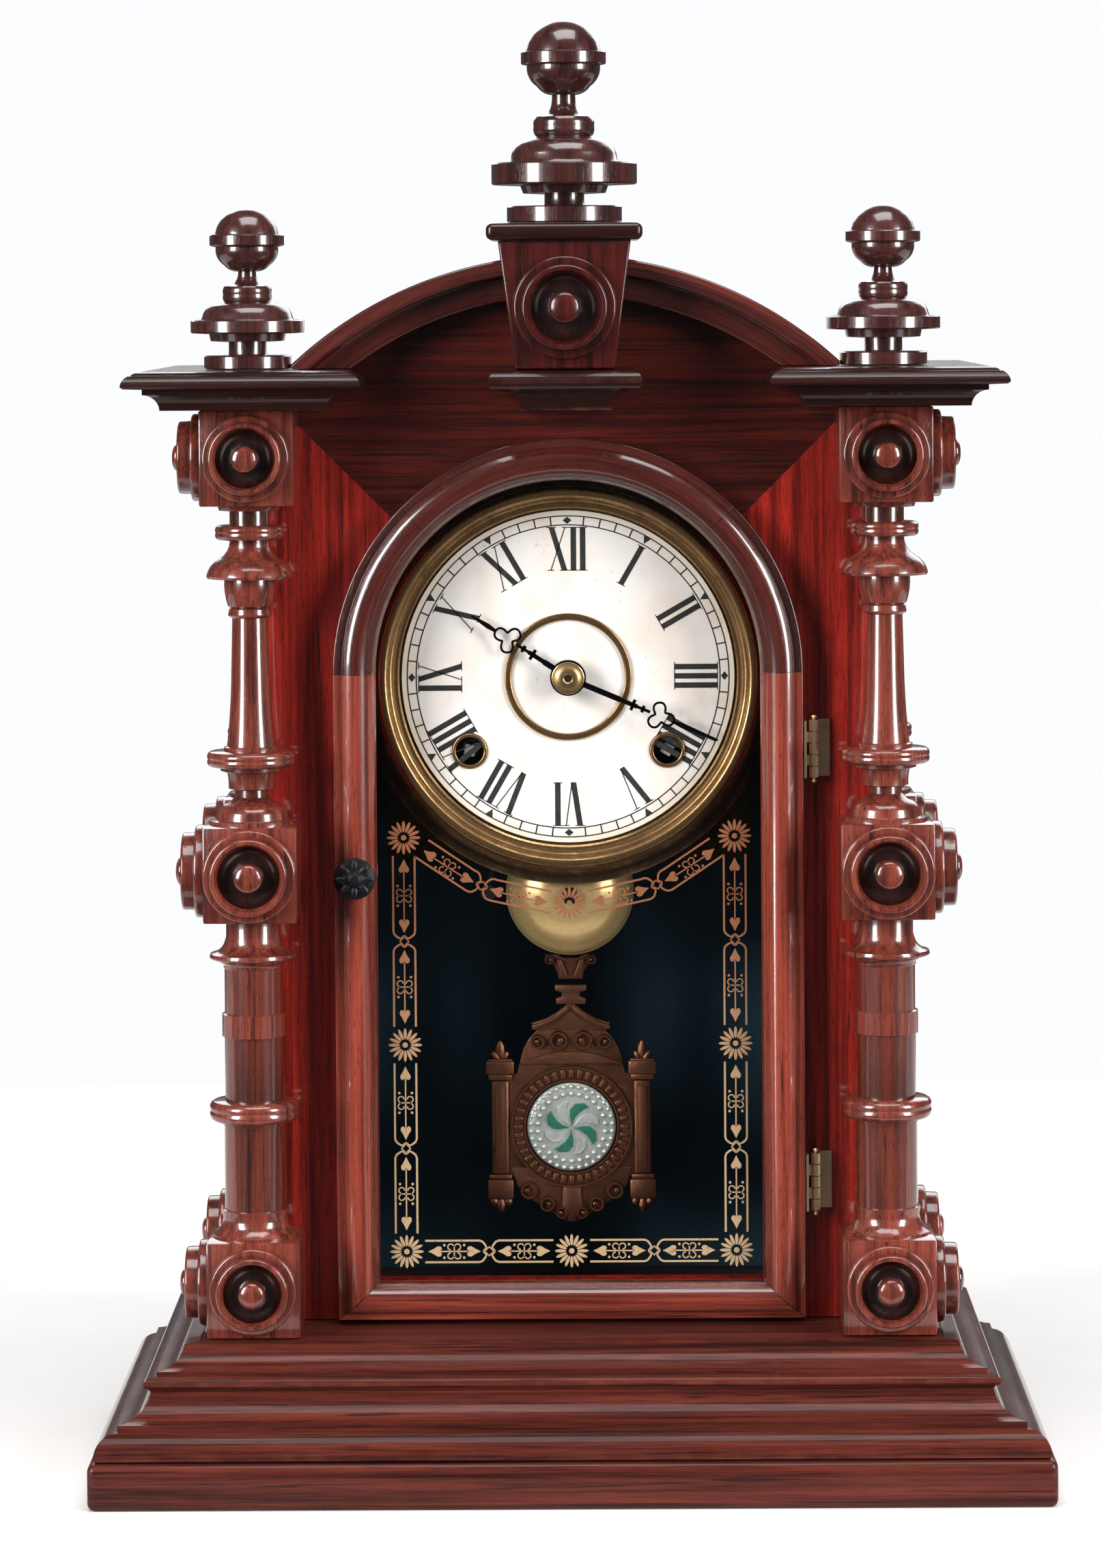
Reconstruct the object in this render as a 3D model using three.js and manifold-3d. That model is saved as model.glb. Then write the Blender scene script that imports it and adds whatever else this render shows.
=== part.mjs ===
// Spring-driven mantel clock with columns, finials, a round-headed glazed door, a paper dial,
// a bell and a pendulum. Millimetres; +X right, +Y back, +Z up.
// The origin is on the floor, under the middle of the base.
import * as THREE from "three";
import { mergeVertices } from "three/addons/utils/BufferGeometryUtils.js";
import Module from "manifold-3d";

const wasm = await Module();
wasm.setup();

// ---------------------------------------------------------------- driving dimensions
const GAP = 0.3; // between two pieces that touch
const BASE_W = 311;
const BASE_D = 160;
const PLINTH_H = 15.1;
const MOULDING_H = 32.5;
const MOULDING_SECTION = 34; // from the plinth's edge in to the moulding's back
const FLOOR_T = 8;

const CASE_HALF_W = 88.4; // outside of the side walls
const WALL = 6.4;
const COLUMN_H = 303.4; // from the floor board up to the cornice
const PANEL_FRONT_Y = -13.6;
const PANEL_T = 7.3;
const PANEL_HALF_W = 101.5;
const CASE_BACK_Y = 77;
const BACK_T = 5;

const BLOCK = 30.6; // the columns' square blocks
const BLOCK_H = 31.3;
const COLUMN_SIDES = 10;
const DISC_SIDES = 24; // round plates and rings of the dial
const ROUNDEL_R = 14.2;
const ROUNDEL_H = 9.6;
const ROUNDEL_SIDES = 8;

const CORNICE_H = 12.6;
const CORNICE_IN_X = 65.5;
const CORNICE_OUT_X = 142.5;
const CORNICE_FRONT_Y = -67.5;

const ROOF_R = 131.2;
const ROOF_T = 4.7;
const ARCH_WIDTH = 13.5;
const ARCH_FRONT_Y = -35;
const ARCH_BAND = 5.5; // width of the outer band
const ARCH_STEP = 8; // the inner band lies this far behind the outer one

const KEYSTONE_TOP_HALF_W = 21.5;
const KEYSTONE_FOOT_HALF_W = 16.1;
const KEYSTONE_FRONT_Y = -50;
const KEYSTONE_H = 42;
const KEYSTONE_CAP_H = 5.5;
const KEYSTONE_CAP_HALF_W = 25.3;
const BRACKET_H = 13.2;

const FINIAL_H = 52.5;
const CENTER_FINIAL_H = 66;

const DOOR_HALF_W = 77.5;
const DOOR_T = 11.6;
const DOOR_FRAME_W = 14;
const DOOR_BOTTOM_Z = 49.5;
const GLASS_T = 2;
const GLASS_REBATE = 3; // how far the glass runs in behind the frame
const HINGE_PIN_Y = -19;
const HINGE_INSET = 35.3; // from the door's foot up, and from its spring line down
const HINGE_H = 19.2;
const HINGE_R = 1.6;
const HINGE_PIN_R = 0.7;
const HINGE_LEAF_T = 0.8;
const KNOB_Z = 197;
const KNOB_R = 7.1;
const KNOB_SHAFT_R = 1.5;

const DIAL_Z = 261;
const DIAL_Y = 0; // front of the brass pan
const RING_R = 21.2;
const WINDING_X = 33;
const WINDING_DROP = 24.7;
const EYELET_R = 5.85;
const EYELET_HOLE_R = 4.7;
const MINUTE_HAND_ANGLE = 113; // degrees clockwise from twelve
const HOUR_HAND_ANGLE = 303;

const PLATE_FRONT_Y = 30;
const PLATE_T = 1.6;
const PLATE_SPACE = 24.4; // between the two plates
const PLATE_HALF_W = 62;
const PLATE_BOTTOM_Z = 196;
const PLATE_TOP_Z = 292;
const ARBOR_R = 1;
const WHEEL_T = 1.2;
const PIVOT_DROP = 23; // pendulum pivot below the dial's centre
const BELL_R = 22;
const BELL_DEPTH = 12.5;
const BELL_Z = 187;
const BELL_RIM_Y = 18;
const BOB_Z = 106;
const BOB_GLASS_R = 15.2;
const BOB_T = 4;
const ROD_Y = 22.7;

// teeth of the wheels and leaves of the pinions
const GREAT_TEETH = 72;
const CENTER_TEETH = 72;
const THIRD_TEETH = 60;
const ESCAPE_TEETH = 42;
const PINION_LEAVES = 6;
const CANNON_TEETH = 12;
const MINUTE_WHEEL_TEETH = 36;
const MINUTE_PINION_TEETH = 10;
const HOUR_WHEEL_TEETH = 40;
const STRIKE_TEETH = 54;

// ---------------------------------------------------------------- worked out from them
const FLOOR_TOP = PLINTH_H + GAP + MOULDING_H;
const CORNICE_Z = FLOOR_TOP + 2 * GAP + COLUMN_H;
const CORNICE_TOP = CORNICE_Z + CORNICE_H;
const COLUMN_X = CASE_HALF_W + GAP + BLOCK / 2;
const COLUMN_FRONT_Y = PANEL_FRONT_Y - GAP - BLOCK / 2;
const COLUMN_REAR_Y = CASE_BACK_Y - BLOCK / 2;
const TURNED_L = (COLUMN_H - 3 * BLOCK_H) / 2;
const ROOF_CENTER_Z = CORNICE_TOP + GAP + 2.5 - Math.sqrt(ROOF_R ** 2 - CASE_HALF_W ** 2);
const ARCH_TOP = ROOF_CENTER_Z + ROOF_R;
const KEYSTONE_TOP = ARCH_TOP + 4.6;
const KEYSTONE_FOOT = KEYSTONE_TOP - KEYSTONE_H;
const DOOR_BACK_Y = PANEL_FRONT_Y - GAP;
const DOOR_FRONT_Y = DOOR_BACK_Y - DOOR_T;
const DOOR_ARCH_Z = DIAL_Z + 2.8;
const SIGHT_HALF_W = DOOR_HALF_W - DOOR_FRAME_W;
const MOUTH_HALF_W = SIGHT_HALF_W + 2.5;
const FINIAL_FOOT_R = BLOCK / 2 - 1;
const HINGE_PIN_X = DOOR_HALF_W + 3.5;
const KNOB_X = DOOR_FRAME_W / 2 - DOOR_HALF_W;
const BEZEL_R = SIGHT_HALF_W + 0.6;
const PAN_R = MOUTH_HALF_W + 4; // wider than the panel's mouth, so that no light shows round it
const PAPER_R = BEZEL_R - 8.1;
const MINUTE_HAND_L = PAPER_R - 2;
const HOUR_HAND_L = PAPER_R - 17.7;
const GLASS_BACK_Y = DOOR_BACK_Y - 2;
const WINDING_Z = DIAL_Z - WINDING_DROP;
const PLATE_BACK_Y = PLATE_FRONT_Y + PLATE_T + PLATE_SPACE;
const INSIDE_Y = PLATE_FRONT_Y + PLATE_T;
const PIVOT_Z = DIAL_Z - PIVOT_DROP;

// ---------------------------------------------------------------- finishes
const finish = (color, roughness, metalness) => () =>
  new THREE.MeshStandardMaterial({ color, roughness, metalness });
const rosewood = finish(0x5a1d12, 0.25, 0);
const darkRosewood = finish(0x3a120c, 0.3, 0);
const pine = finish(0x8a6a45, 0.7, 0);
const brass = finish(0xb08d4a, 0.35, 1);
const castBronze = finish(0x6b3f26, 0.5, 0.6);
const steel = finish(0x6f7378, 0.35, 1);
const blackIron = finish(0x15161a, 0.5, 0.7);
const paper = finish(0xe9e2d2, 0.8, 0);
const clearGlass = finish(0x9fb6b0, 0.05, 0);
const cutGlass = finish(0xc9cfd0, 0.15, 0);

// ---------------------------------------------------------------- solids
function solid(geometry) {
  const bare = geometry.index ? geometry.toNonIndexed() : geometry.clone();
  bare.deleteAttribute("normal");
  bare.deleteAttribute("uv");
  const merged = mergeVertices(bare, 1e-4);
  return new wasm.Manifold(
    new wasm.Mesh({
      numProp: 3,
      vertProperties: new Float32Array(merged.attributes.position.array),
      triVerts: new Uint32Array(merged.index.array),
    }),
  );
}

function geometryOf(body) {
  const mesh = body.getMesh();
  return new THREE.BufferGeometry()
    .setAttribute("position", new THREE.BufferAttribute(mesh.vertProperties, 3))
    .setIndex(new THREE.BufferAttribute(mesh.triVerts, 1));
}

const join = (...bodies) => bodies.reduce((whole, piece) => whole.add(piece));
const cut = (body, ...tools) => tools.reduce((left, tool) => left.subtract(tool), body);

function box(x0, x1, y0, y1, z0, z1) {
  const geometry = new THREE.BoxGeometry(x1 - x0, y1 - y0, z1 - z0);
  geometry.translate((x0 + x1) / 2, (y0 + y1) / 2, (z0 + z1) / 2);
  return solid(geometry);
}

const shapeOf = (points) => new THREE.Shape(points.map(([a, b]) => new THREE.Vector2(a, b)));

// An outline in the XZ plane, with a thickness from y0 back to y1.
function plate(points, y0, y1, curveSegments = 12) {
  const shape = Array.isArray(points) ? shapeOf(points) : points;
  const geometry = new THREE.ExtrudeGeometry(shape, {
    depth: y1 - y0,
    bevelEnabled: false,
    curveSegments,
  });
  geometry.rotateX(Math.PI / 2);
  geometry.translate(0, y1, 0);
  return solid(geometry);
}

// An outline in plan, with a height from z0 up to z1.
function board(points, z0, z1) {
  const geometry = new THREE.ExtrudeGeometry(shapeOf(points), { depth: z1 - z0, bevelEnabled: false });
  geometry.translate(0, 0, z0);
  return solid(geometry);
}

// A section in the plane of two axes, run along a third.
function run(points, along, sideways, up, origin, length) {
  const geometry = new THREE.ExtrudeGeometry(shapeOf(points), { depth: length, bevelEnabled: false });
  geometry.applyMatrix4(new THREE.Matrix4().makeBasis(sideways, up, along).setPosition(origin));
  return solid(geometry);
}

// A turned piece: [radius, distance along the axis], from the axis out and back to it.
function turned(profile, sides, axis = "y") {
  const points = profile.map(([r, h]) => new THREE.Vector2(Math.max(r, 0), h));
  const geometry = new THREE.LatheGeometry(points, sides);
  geometry.rotateY(Math.PI / sides);
  if (axis === "z") geometry.rotateX(Math.PI / 2);
  if (axis === "x") geometry.rotateZ(-Math.PI / 2);
  return solid(geometry);
}

// A rod along Y or Z.
const rod = (radius, from, to, sides = 8, axis = "y") =>
  turned([[0, from], [radius, from], [radius, to], [0, to]], sides, axis);

// A turned ring with a hole right through it.
const ring = (inner, outer, from, to, sides = 12, axis = "y") =>
  turned([[inner, from], [outer, from], [outer, to], [inner, to], [inner, from]], sides, axis);

const circlePoint = (r, degrees, cx = 0, cy = 0) => [
  cx + r * Math.sin(THREE.MathUtils.degToRad(degrees)),
  cy + r * Math.cos(THREE.MathUtils.degToRad(degrees)),
];

// Points on an arc; angles are degrees clockwise from the up direction.
function arc(r, from, to, steps, cx = 0, cy = 0) {
  return Array.from({ length: steps + 1 }, (_, i) =>
    circlePoint(r, from + ((to - from) * i) / steps, cx, cy),
  );
}

// A quarter of an ellipse from one corner to another; hollow bends it towards the first corner's side.
function quarter([x0, z0], [x1, z1], hollow, steps = 3) {
  return Array.from({ length: steps + 1 }, (_, i) => {
    const a = (Math.PI / 2) * (i / steps);
    const [u, v] = hollow ? [1 - Math.cos(a), Math.sin(a)] : [Math.sin(a), 1 - Math.cos(a)];
    return [x0 + (x1 - x0) * u, z0 + (z1 - z0) * v];
  });
}

const X = new THREE.Vector3(1, 0, 0);
const Y = new THREE.Vector3(0, 1, 0);
const Z = new THREE.Vector3(0, 0, 1);

const clock = new THREE.Group();

// Names a solid, gives it a finish of its own and hangs it in a group.
function piece(name, body, material, parent = clock) {
  const mesh = new THREE.Mesh(geometryOf(body), material());
  mesh.name = name;
  parent.add(mesh);
  return mesh;
}

function group(x, y, z, parent = clock) {
  const made = new THREE.Group();
  made.position.set(x, y, z);
  parent.add(made);
  return made;
}

// ---------------------------------------------------------------- base
piece("base_board", box(-BASE_W / 2, BASE_W / 2, -BASE_D / 2, BASE_D / 2, 0, PLINTH_H), rosewood);

// [setback from the plinth's edge, height over the plinth]: ovolo, fillet, cove, bead, fillet, cove.
function mouldingSection() {
  const top = MOULDING_H;
  return [
    [MOULDING_SECTION, 0],
    [1.7, 0],
    [1.7, 1.5],
    ...quarter([1.7, 1.5], [9, 8.6], true).slice(1),
    [9, 10.7],
    ...quarter([9, 10.7], [19.5, 19.3], false).slice(1),
    [18, 20.6],
    [18, 22.8],
    [21.1, 23.9],
    [21.1, 25.2],
    ...quarter([21.1, 25.2], [29.6, top - 0.6], false).slice(1),
    [29.6, top],
    [MOULDING_SECTION, top],
  ].reverse();
}

const mouldingZ = PLINTH_H + GAP;
// The plan of a mitred length: the corner lines run in at 45 degrees from the plinth's corners.
function mitre(halfLength, depth) {
  const c = GAP / Math.SQRT2;
  return [
    [-halfLength + c, 0],
    [halfLength - c, 0],
    [halfLength - depth - c, depth],
    [-halfLength + depth + c, depth],
  ];
}
{
  const origin = new THREE.Vector3(-BASE_W / 2, -BASE_D / 2, mouldingZ);
  const length = run(mouldingSection(), X, Y, Z, origin, BASE_W);
  const plan = mitre(BASE_W / 2, MOULDING_SECTION + 5).map(([x, y]) => [x, y - BASE_D / 2]);
  piece("base_moulding_front", length.intersect(board(plan, 0, FLOOR_TOP + 5)), rosewood);
}
for (const [side, name] of [[-1, "base_moulding_left"], [1, "base_moulding_right"]]) {
  const along = Y.clone().multiplyScalar(side);
  const origin = new THREE.Vector3((side * BASE_W) / 2, (-side * BASE_D) / 2, mouldingZ);
  const length = run(mouldingSection(), along, X.clone().multiplyScalar(-side), Z, origin, BASE_D);
  const c = GAP / Math.SQRT2;
  const reach = MOULDING_SECTION + 5;
  const corner = [(side * BASE_W) / 2, -BASE_D / 2 + c];
  const inner = [side * (BASE_W / 2 - reach), -BASE_D / 2 + reach + c];
  const plan = [corner, [corner[0], BASE_D / 2], [inner[0], BASE_D / 2], inner];
  piece(name, length.intersect(board(side > 0 ? plan : plan.reverse(), 0, FLOOR_TOP + 5)), rosewood);
}

const floorHalfW = BASE_W / 2 - MOULDING_SECTION - GAP;
const floorFrontY = -BASE_D / 2 + MOULDING_SECTION + GAP;
{
  const railW = 12;
  const slab = box(-floorHalfW, floorHalfW, floorFrontY, CASE_BACK_Y, mouldingZ, FLOOR_TOP);
  const hollow = box(
    -floorHalfW + railW,
    floorHalfW - railW,
    floorFrontY + railW,
    CASE_BACK_Y + 5,
    mouldingZ - 5,
    FLOOR_TOP - FLOOR_T,
  );
  piece("case_floor", cut(slab, hollow), pine);
}

// ---------------------------------------------------------------- case
const standZ = FLOOR_TOP + GAP;
const roofInner = ROOF_R - ROOF_T;
const archHeight = (r, x) => ROOF_CENTER_Z + Math.sqrt(r ** 2 - x ** 2);
const archAngle = (r, x) => THREE.MathUtils.radToDeg(Math.asin(x / r));

for (const [side, name] of [[-1, "case_side_left"], [1, "case_side_right"]]) {
  const under = roofInner - 2 * GAP;
  const inner = CASE_HALF_W - WALL;
  const outline = [
    [side * inner, standZ],
    [side * CASE_HALF_W, standZ],
    [side * CASE_HALF_W, archHeight(under, CASE_HALF_W)],
    [side * inner, archHeight(under, inner)],
  ];
  piece(name, plate(outline, PANEL_FRONT_Y + PANEL_T + GAP, CASE_BACK_Y), rosewood);
}

{
  const outerAngle = archAngle(ROOF_R, CASE_HALF_W);
  const innerAngle = archAngle(roofInner, CASE_HALF_W);
  const outline = [
    ...arc(ROOF_R, -outerAngle, outerAngle, 16, 0, ROOF_CENTER_Z),
    ...arc(roofInner, innerAngle, -innerAngle, 16, 0, ROOF_CENTER_Z),
  ];
  piece("case_roof", plate(outline, PANEL_FRONT_Y + PANEL_T + GAP, CASE_BACK_Y), rosewood);
}

// The outline of a board with straight sides and a round head.
function roundHead(halfW, bottom, springZ, steps) {
  return [[halfW, bottom], [-halfW, bottom], ...arc(halfW, -90, 90, steps, 0, springZ)];
}

{
  const angle = archAngle(ROOF_R, CASE_HALF_W);
  const wingTop = CORNICE_Z - GAP;
  const outline = [
    [PANEL_HALF_W, standZ],
    [-PANEL_HALF_W, standZ],
    [-PANEL_HALF_W, wingTop],
    [-CASE_HALF_W, wingTop],
    ...arc(ROOF_R, -angle, angle, 16, 0, ROOF_CENTER_Z),
    [CASE_HALF_W, wingTop],
    [PANEL_HALF_W, wingTop],
  ];
  const panel = plate(outline, PANEL_FRONT_Y, PANEL_FRONT_Y + PANEL_T);
  const mouthBottom = DOOR_BOTTOM_Z + DOOR_FRAME_W - 2.5;
  const mouth = plate(
    roundHead(MOUTH_HALF_W, mouthBottom, DOOR_ARCH_Z, 16),
    PANEL_FRONT_Y - 5,
    PANEL_FRONT_Y + PANEL_T + 5,
  );
  const latchSlot = box(
    KNOB_X - KNOB_SHAFT_R - 2.4,
    -MOUTH_HALF_W + 5,
    PANEL_FRONT_Y - 5,
    PANEL_FRONT_Y + PANEL_T + 5,
    KNOB_Z - KNOB_SHAFT_R - 1,
    KNOB_Z + KNOB_SHAFT_R + 1,
  );
  piece("front_panel", cut(panel, mouth, latchSlot), rosewood);
}

{
  const halfW = CASE_HALF_W - WALL - GAP;
  const under = roofInner - 2 * GAP;
  const angle = archAngle(under, halfW);
  const outline = [[halfW, standZ], [-halfW, standZ], ...arc(under, -angle, angle, 16, 0, ROOF_CENTER_Z)];
  piece("back_panel", plate(outline, CASE_BACK_Y - BACK_T, CASE_BACK_Y), pine);
}

// The arch moulding: a high outer band and a lower inner one, standing on the cornices.
const archBack = PANEL_FRONT_Y - GAP;
function archRing(grow) {
  const outer = ROOF_R + grow;
  const step = ROOF_R - ARCH_BAND - grow;
  const inner = ROOF_R - ARCH_WIDTH - grow;
  const front = ARCH_FRONT_Y - grow;
  return turned(
    [
      [inner, front + ARCH_STEP],
      [step, front + ARCH_STEP - 2],
      [step, front],
      [outer, front],
      [outer, archBack + grow],
      [inner, archBack + grow],
      [inner, front + ARCH_STEP],
    ],
    64,
  ).translate([0, 0, ROOF_CENTER_Z]);
}
{
  const footHalfW = COLUMN_X - FINIAL_FOOT_R - GAP;
  const above = box(-footHalfW, footHalfW, -60, 60, CORNICE_TOP + GAP, ARCH_TOP + 10);
  piece("arch_moulding", archRing(0).intersect(above), rosewood);
}

// ---------------------------------------------------------------- keystone
const roundelProfile = (r, h) => [
  [0, -0.6],
  [r, -0.6],
  [r, 0.31 * h],
  [0.83 * r, 0.78 * h],
  [0.7 * r, 0.78 * h],
  [0.36 * r, 0.35 * h],
  [0, h],
];

// A turned roundel standing out of a face: facing is -Y, +X or -X.
function roundel(r, h, facing) {
  const profile = roundelProfile(r, h);
  if (facing === "front") return turned(profile, ROUNDEL_SIDES).rotate([180, 0, 0]);
  const right = turned(profile, ROUNDEL_SIDES, "x");
  return facing === "right" ? right : right.rotate([0, 0, 180]);
}

{
  const outline = [
    [-KEYSTONE_FOOT_HALF_W, KEYSTONE_FOOT + GAP],
    [KEYSTONE_FOOT_HALF_W, KEYSTONE_FOOT + GAP],
    [KEYSTONE_TOP_HALF_W, KEYSTONE_TOP - GAP],
    [-KEYSTONE_TOP_HALF_W, KEYSTONE_TOP - GAP],
  ];
  const block = cut(plate(outline, KEYSTONE_FRONT_Y, archBack), archRing(GAP));
  const above = box(-50, 50, PANEL_FRONT_Y - GAP, 0, ARCH_TOP, KEYSTONE_TOP);
  const eye = roundel(16.7, ROUNDEL_H, "front");
  const eyeZ = (KEYSTONE_TOP + KEYSTONE_FOOT) / 2 - 0.8;
  piece("keystone", join(cut(block, above), eye.translate([0, KEYSTONE_FRONT_Y, eyeZ])), rosewood);
}

// A slab with moulded edges: [inset, height] sections run along X and along Y, and crossed.
function mouldedSlab([x0, x1, y0, y1], edge, height, plain) {
  const section = (lo, hi, plainLo, plainHi) => {
    const left = plainLo ? [[lo, 0], [lo, height]] : edge.map(([i, z]) => [lo + i, z]);
    const right = plainHi ? [[hi, 0], [hi, height]] : edge.map(([i, z]) => [hi - i, z]);
    return [...right, ...left.reverse()];
  };
  const across = plate(section(x0, x1, plain.left, plain.right), y0 - 1, y1 + 1);
  const start = new THREE.Vector3(x0 - 1, 0, 0);
  const deep = run(section(y0, y1, plain.front, plain.back), X, Y, Z, start, x1 - x0 + 2);
  return across.intersect(deep).intersect(box(x0, x1, y0, y1, -1, height + 1));
}

const capEdge = [[1.4, 0], [0, 1.4], [0, KEYSTONE_CAP_H - 1.4], [1.4, KEYSTONE_CAP_H]];
const capPlan = [-KEYSTONE_CAP_HALF_W, KEYSTONE_CAP_HALF_W, KEYSTONE_FRONT_Y - 3, KEYSTONE_FRONT_Y + 45];
piece(
  "keystone_cap",
  mouldedSlab(capPlan, capEdge, KEYSTONE_CAP_H, {}).translate([0, 0, KEYSTONE_TOP]),
  rosewood,
);

const bracketEdge = [[9.4, 0], [6.6, 3.5], [6.2, 7.2], [0.6, 7.2], [0, 8.6], [1.2, 11.6], [3.6, BRACKET_H]];
const bracketPlan = [-24.6, 24.6, KEYSTONE_FRONT_Y - 4, archBack];
const bracket = mouldedSlab(bracketPlan, bracketEdge, BRACKET_H, { back: true });
piece("keystone_bracket", bracket.translate([0, 0, KEYSTONE_FOOT - BRACKET_H]), darkRosewood);

// ---------------------------------------------------------------- cornices
const corniceEdge = [
  ...quarter([11.7, 0], [6.5, 7.5], false),
  [0, 7.5],
  ...quarter([0, 7.5], [8, CORNICE_H], true).slice(1),
];
for (const [side, name] of [[-1, "cornice_left"], [1, "cornice_right"]]) {
  const xs = (a, b) => (side > 0 ? [a, b] : [-b, -a]);
  const inner = side > 0 ? "left" : "right";
  const front = mouldedSlab(
    [...xs(CORNICE_IN_X, CORNICE_OUT_X), CORNICE_FRONT_Y, archBack],
    corniceEdge,
    CORNICE_H,
    { back: true },
  );
  const rear = mouldedSlab(
    [...xs(CASE_HALF_W + GAP, CORNICE_OUT_X), archBack - 30, BASE_D / 2],
    corniceEdge,
    CORNICE_H,
    { front: true, back: true, [inner]: true },
  );
  piece(name, join(front, rear).translate([0, 0, CORNICE_Z]), darkRosewood);
}

// ---------------------------------------------------------------- columns
// [radius, distance]: lower half of a column, measured from its ends, so that only the shafts stretch.
const lowerTurning = (l) => [
  [0, -1],
  [14.1, -1],
  [14.1, 0.9],
  [10.5, 8.8],
  [10, 9.4],
  [10, 37],
  [14.3, 39.5],
  [14.3, 43.5],
  [9.6, 45.6],
  [9.5, l - 16.5],
  [14.3, l - 13],
  [12.6, l - 10],
  [9, l - 6.2],
  [9, l + 1],
  [0, l + 1],
];
const upperTurning = (l) => [
  [0, -1],
  [14.1, -1],
  [14.1, 1.7],
  [7.2, 7.8],
  [5.5, 9.6],
  [8, 17.4],
  [14.3, 19.5],
  [14.3, 24.4],
  [8, 26.2],
  [5.9, l - 37],
  [7.4, l - 33],
  [8.4, l - 24.3],
  [14.3, l - 23],
  [9.9, l - 17.6],
  [6.3, l - 11.3],
  [11.1, l - 9],
  [6.5, l - 6.5],
  [10.3, l - 1.6],
  [10.3, l + 1],
  [0, l + 1],
];

function column(side, hasFront) {
  const h = BLOCK / 2;
  let body = null;
  [0, 1, 2].forEach((i) => {
    const z = i * (BLOCK_H + TURNED_L);
    const block = box(-h, h, -h, h, z, z + BLOCK_H);
    body = body ? body.add(block) : block;
    const mid = z + BLOCK_H / 2;
    const r = i === 1 ? ROUNDEL_R + 1 : ROUNDEL_R;
    if (hasFront) body = body.add(roundel(r, ROUNDEL_H, "front").translate([0, -h, mid]));
    body = body.add(roundel(r, ROUNDEL_H, side > 0 ? "right" : "left").translate([side * h, 0, mid]));
  });
  const lower = turned(lowerTurning(TURNED_L), COLUMN_SIDES, "z").translate([0, 0, BLOCK_H]);
  const upper = turned(upperTurning(TURNED_L), COLUMN_SIDES, "z");
  return join(body, lower, upper.translate([0, 0, 2 * BLOCK_H + TURNED_L]));
}

for (const [side, word] of [[-1, "left"], [1, "right"]]) {
  const front = group(side * COLUMN_X, COLUMN_FRONT_Y, standZ);
  piece(`column_front_${word}`, column(side, true), rosewood, front);
  const rear = group(side * COLUMN_X, COLUMN_REAR_Y, standZ);
  piece(`column_rear_${word}`, column(side, false), rosewood, rear);
}

// ---------------------------------------------------------------- finials
// [radius, height]: foot disc, neck, collar, broad disc, dome, collar, slim neck, ball with a band.
const sideFinial = (h) => [
  [0, 0],
  [FINIAL_FOOT_R, 0],
  [FINIAL_FOOT_R, 4.5],
  [6.2, 4.6],
  [6.2, 8.8],
  [12.6, 11.6],
  [18.6, 11.8],
  [18.6, 16],
  [14, 17.4],
  [8, 21.7],
  [7.7, h - 25.3],
  [3, h - 21.4],
  [7.5, h - 18.4],
  [12.1, h - 12.2],
  [12.1, h - 8.8],
  [7.4, h - 2.6],
  [0, h],
];
const centerFinial = (h) => [
  [0, 0],
  [18.8, 0],
  [18.8, 5.4],
  [6.5, 5.5],
  [6.5, 9.3],
  [14.4, 12],
  [23.8, 12.3],
  [23.8, 19.5],
  [17.4, 20.6],
  [10, 27.9],
  [9.6, h - 31.4],
  [3.8, h - 26],
  [8.7, h - 21.8],
  [13.9, h - 14.2],
  [13.9, h - 10.6],
  [8.7, h - 3.1],
  [0, h],
];
for (const [side, name] of [[-1, "finial_left"], [1, "finial_right"]]) {
  const stand = group(side * COLUMN_X, COLUMN_FRONT_Y, CORNICE_TOP + GAP);
  piece(name, turned(sideFinial(FINIAL_H), COLUMN_SIDES, "z"), darkRosewood, stand);
}
{
  const stand = group(0, KEYSTONE_FRONT_Y + 20.5, KEYSTONE_TOP + KEYSTONE_CAP_H + GAP);
  piece("finial_center", turned(centerFinial(CENTER_FINIAL_H), 12, "z"), darkRosewood, stand);
}

// ---------------------------------------------------------------- door
const door = group(0, 0, 0);
const sightBottom = DOOR_BOTTOM_Z + DOOR_FRAME_W - 1.6;
const glassHalfW = SIGHT_HALF_W + GLASS_REBATE;
const glassFrontY = GLASS_BACK_Y - GLASS_T;
{
  const low = 3; // width of the flat fillet round the outside of the frame
  const back = plate(
    roundHead(DOOR_HALF_W, DOOR_BOTTOM_Z, DOOR_ARCH_Z, 18),
    DOOR_FRONT_Y + low,
    DOOR_BACK_Y,
  );
  const face = plate(
    roundHead(DOOR_HALF_W - low, DOOR_BOTTOM_Z + low, DOOR_ARCH_Z, 18),
    DOOR_FRONT_Y,
    DOOR_FRONT_Y + low + 1,
  );
  const sight = plate(roundHead(SIGHT_HALF_W, sightBottom, DOOR_ARCH_Z, 18), -60, 20);
  const rebate = plate(
    roundHead(glassHalfW + GAP, sightBottom - GLASS_REBATE - GAP, DOOR_ARCH_Z, 18),
    glassFrontY - GAP,
    20,
  );
  const knobHole = rod(KNOB_SHAFT_R + GAP, -60, 20, 8).translate([KNOB_X, 0, KNOB_Z]);
  piece("door_frame", cut(join(back, face), sight, rebate, knobHole), rosewood, door);
  const pane = plate(
    roundHead(glassHalfW, sightBottom - GLASS_REBATE, DOOR_ARCH_Z, 18),
    glassFrontY,
    GLASS_BACK_Y,
  );
  piece("door_glass", pane, clearGlass, door);
}

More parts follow.
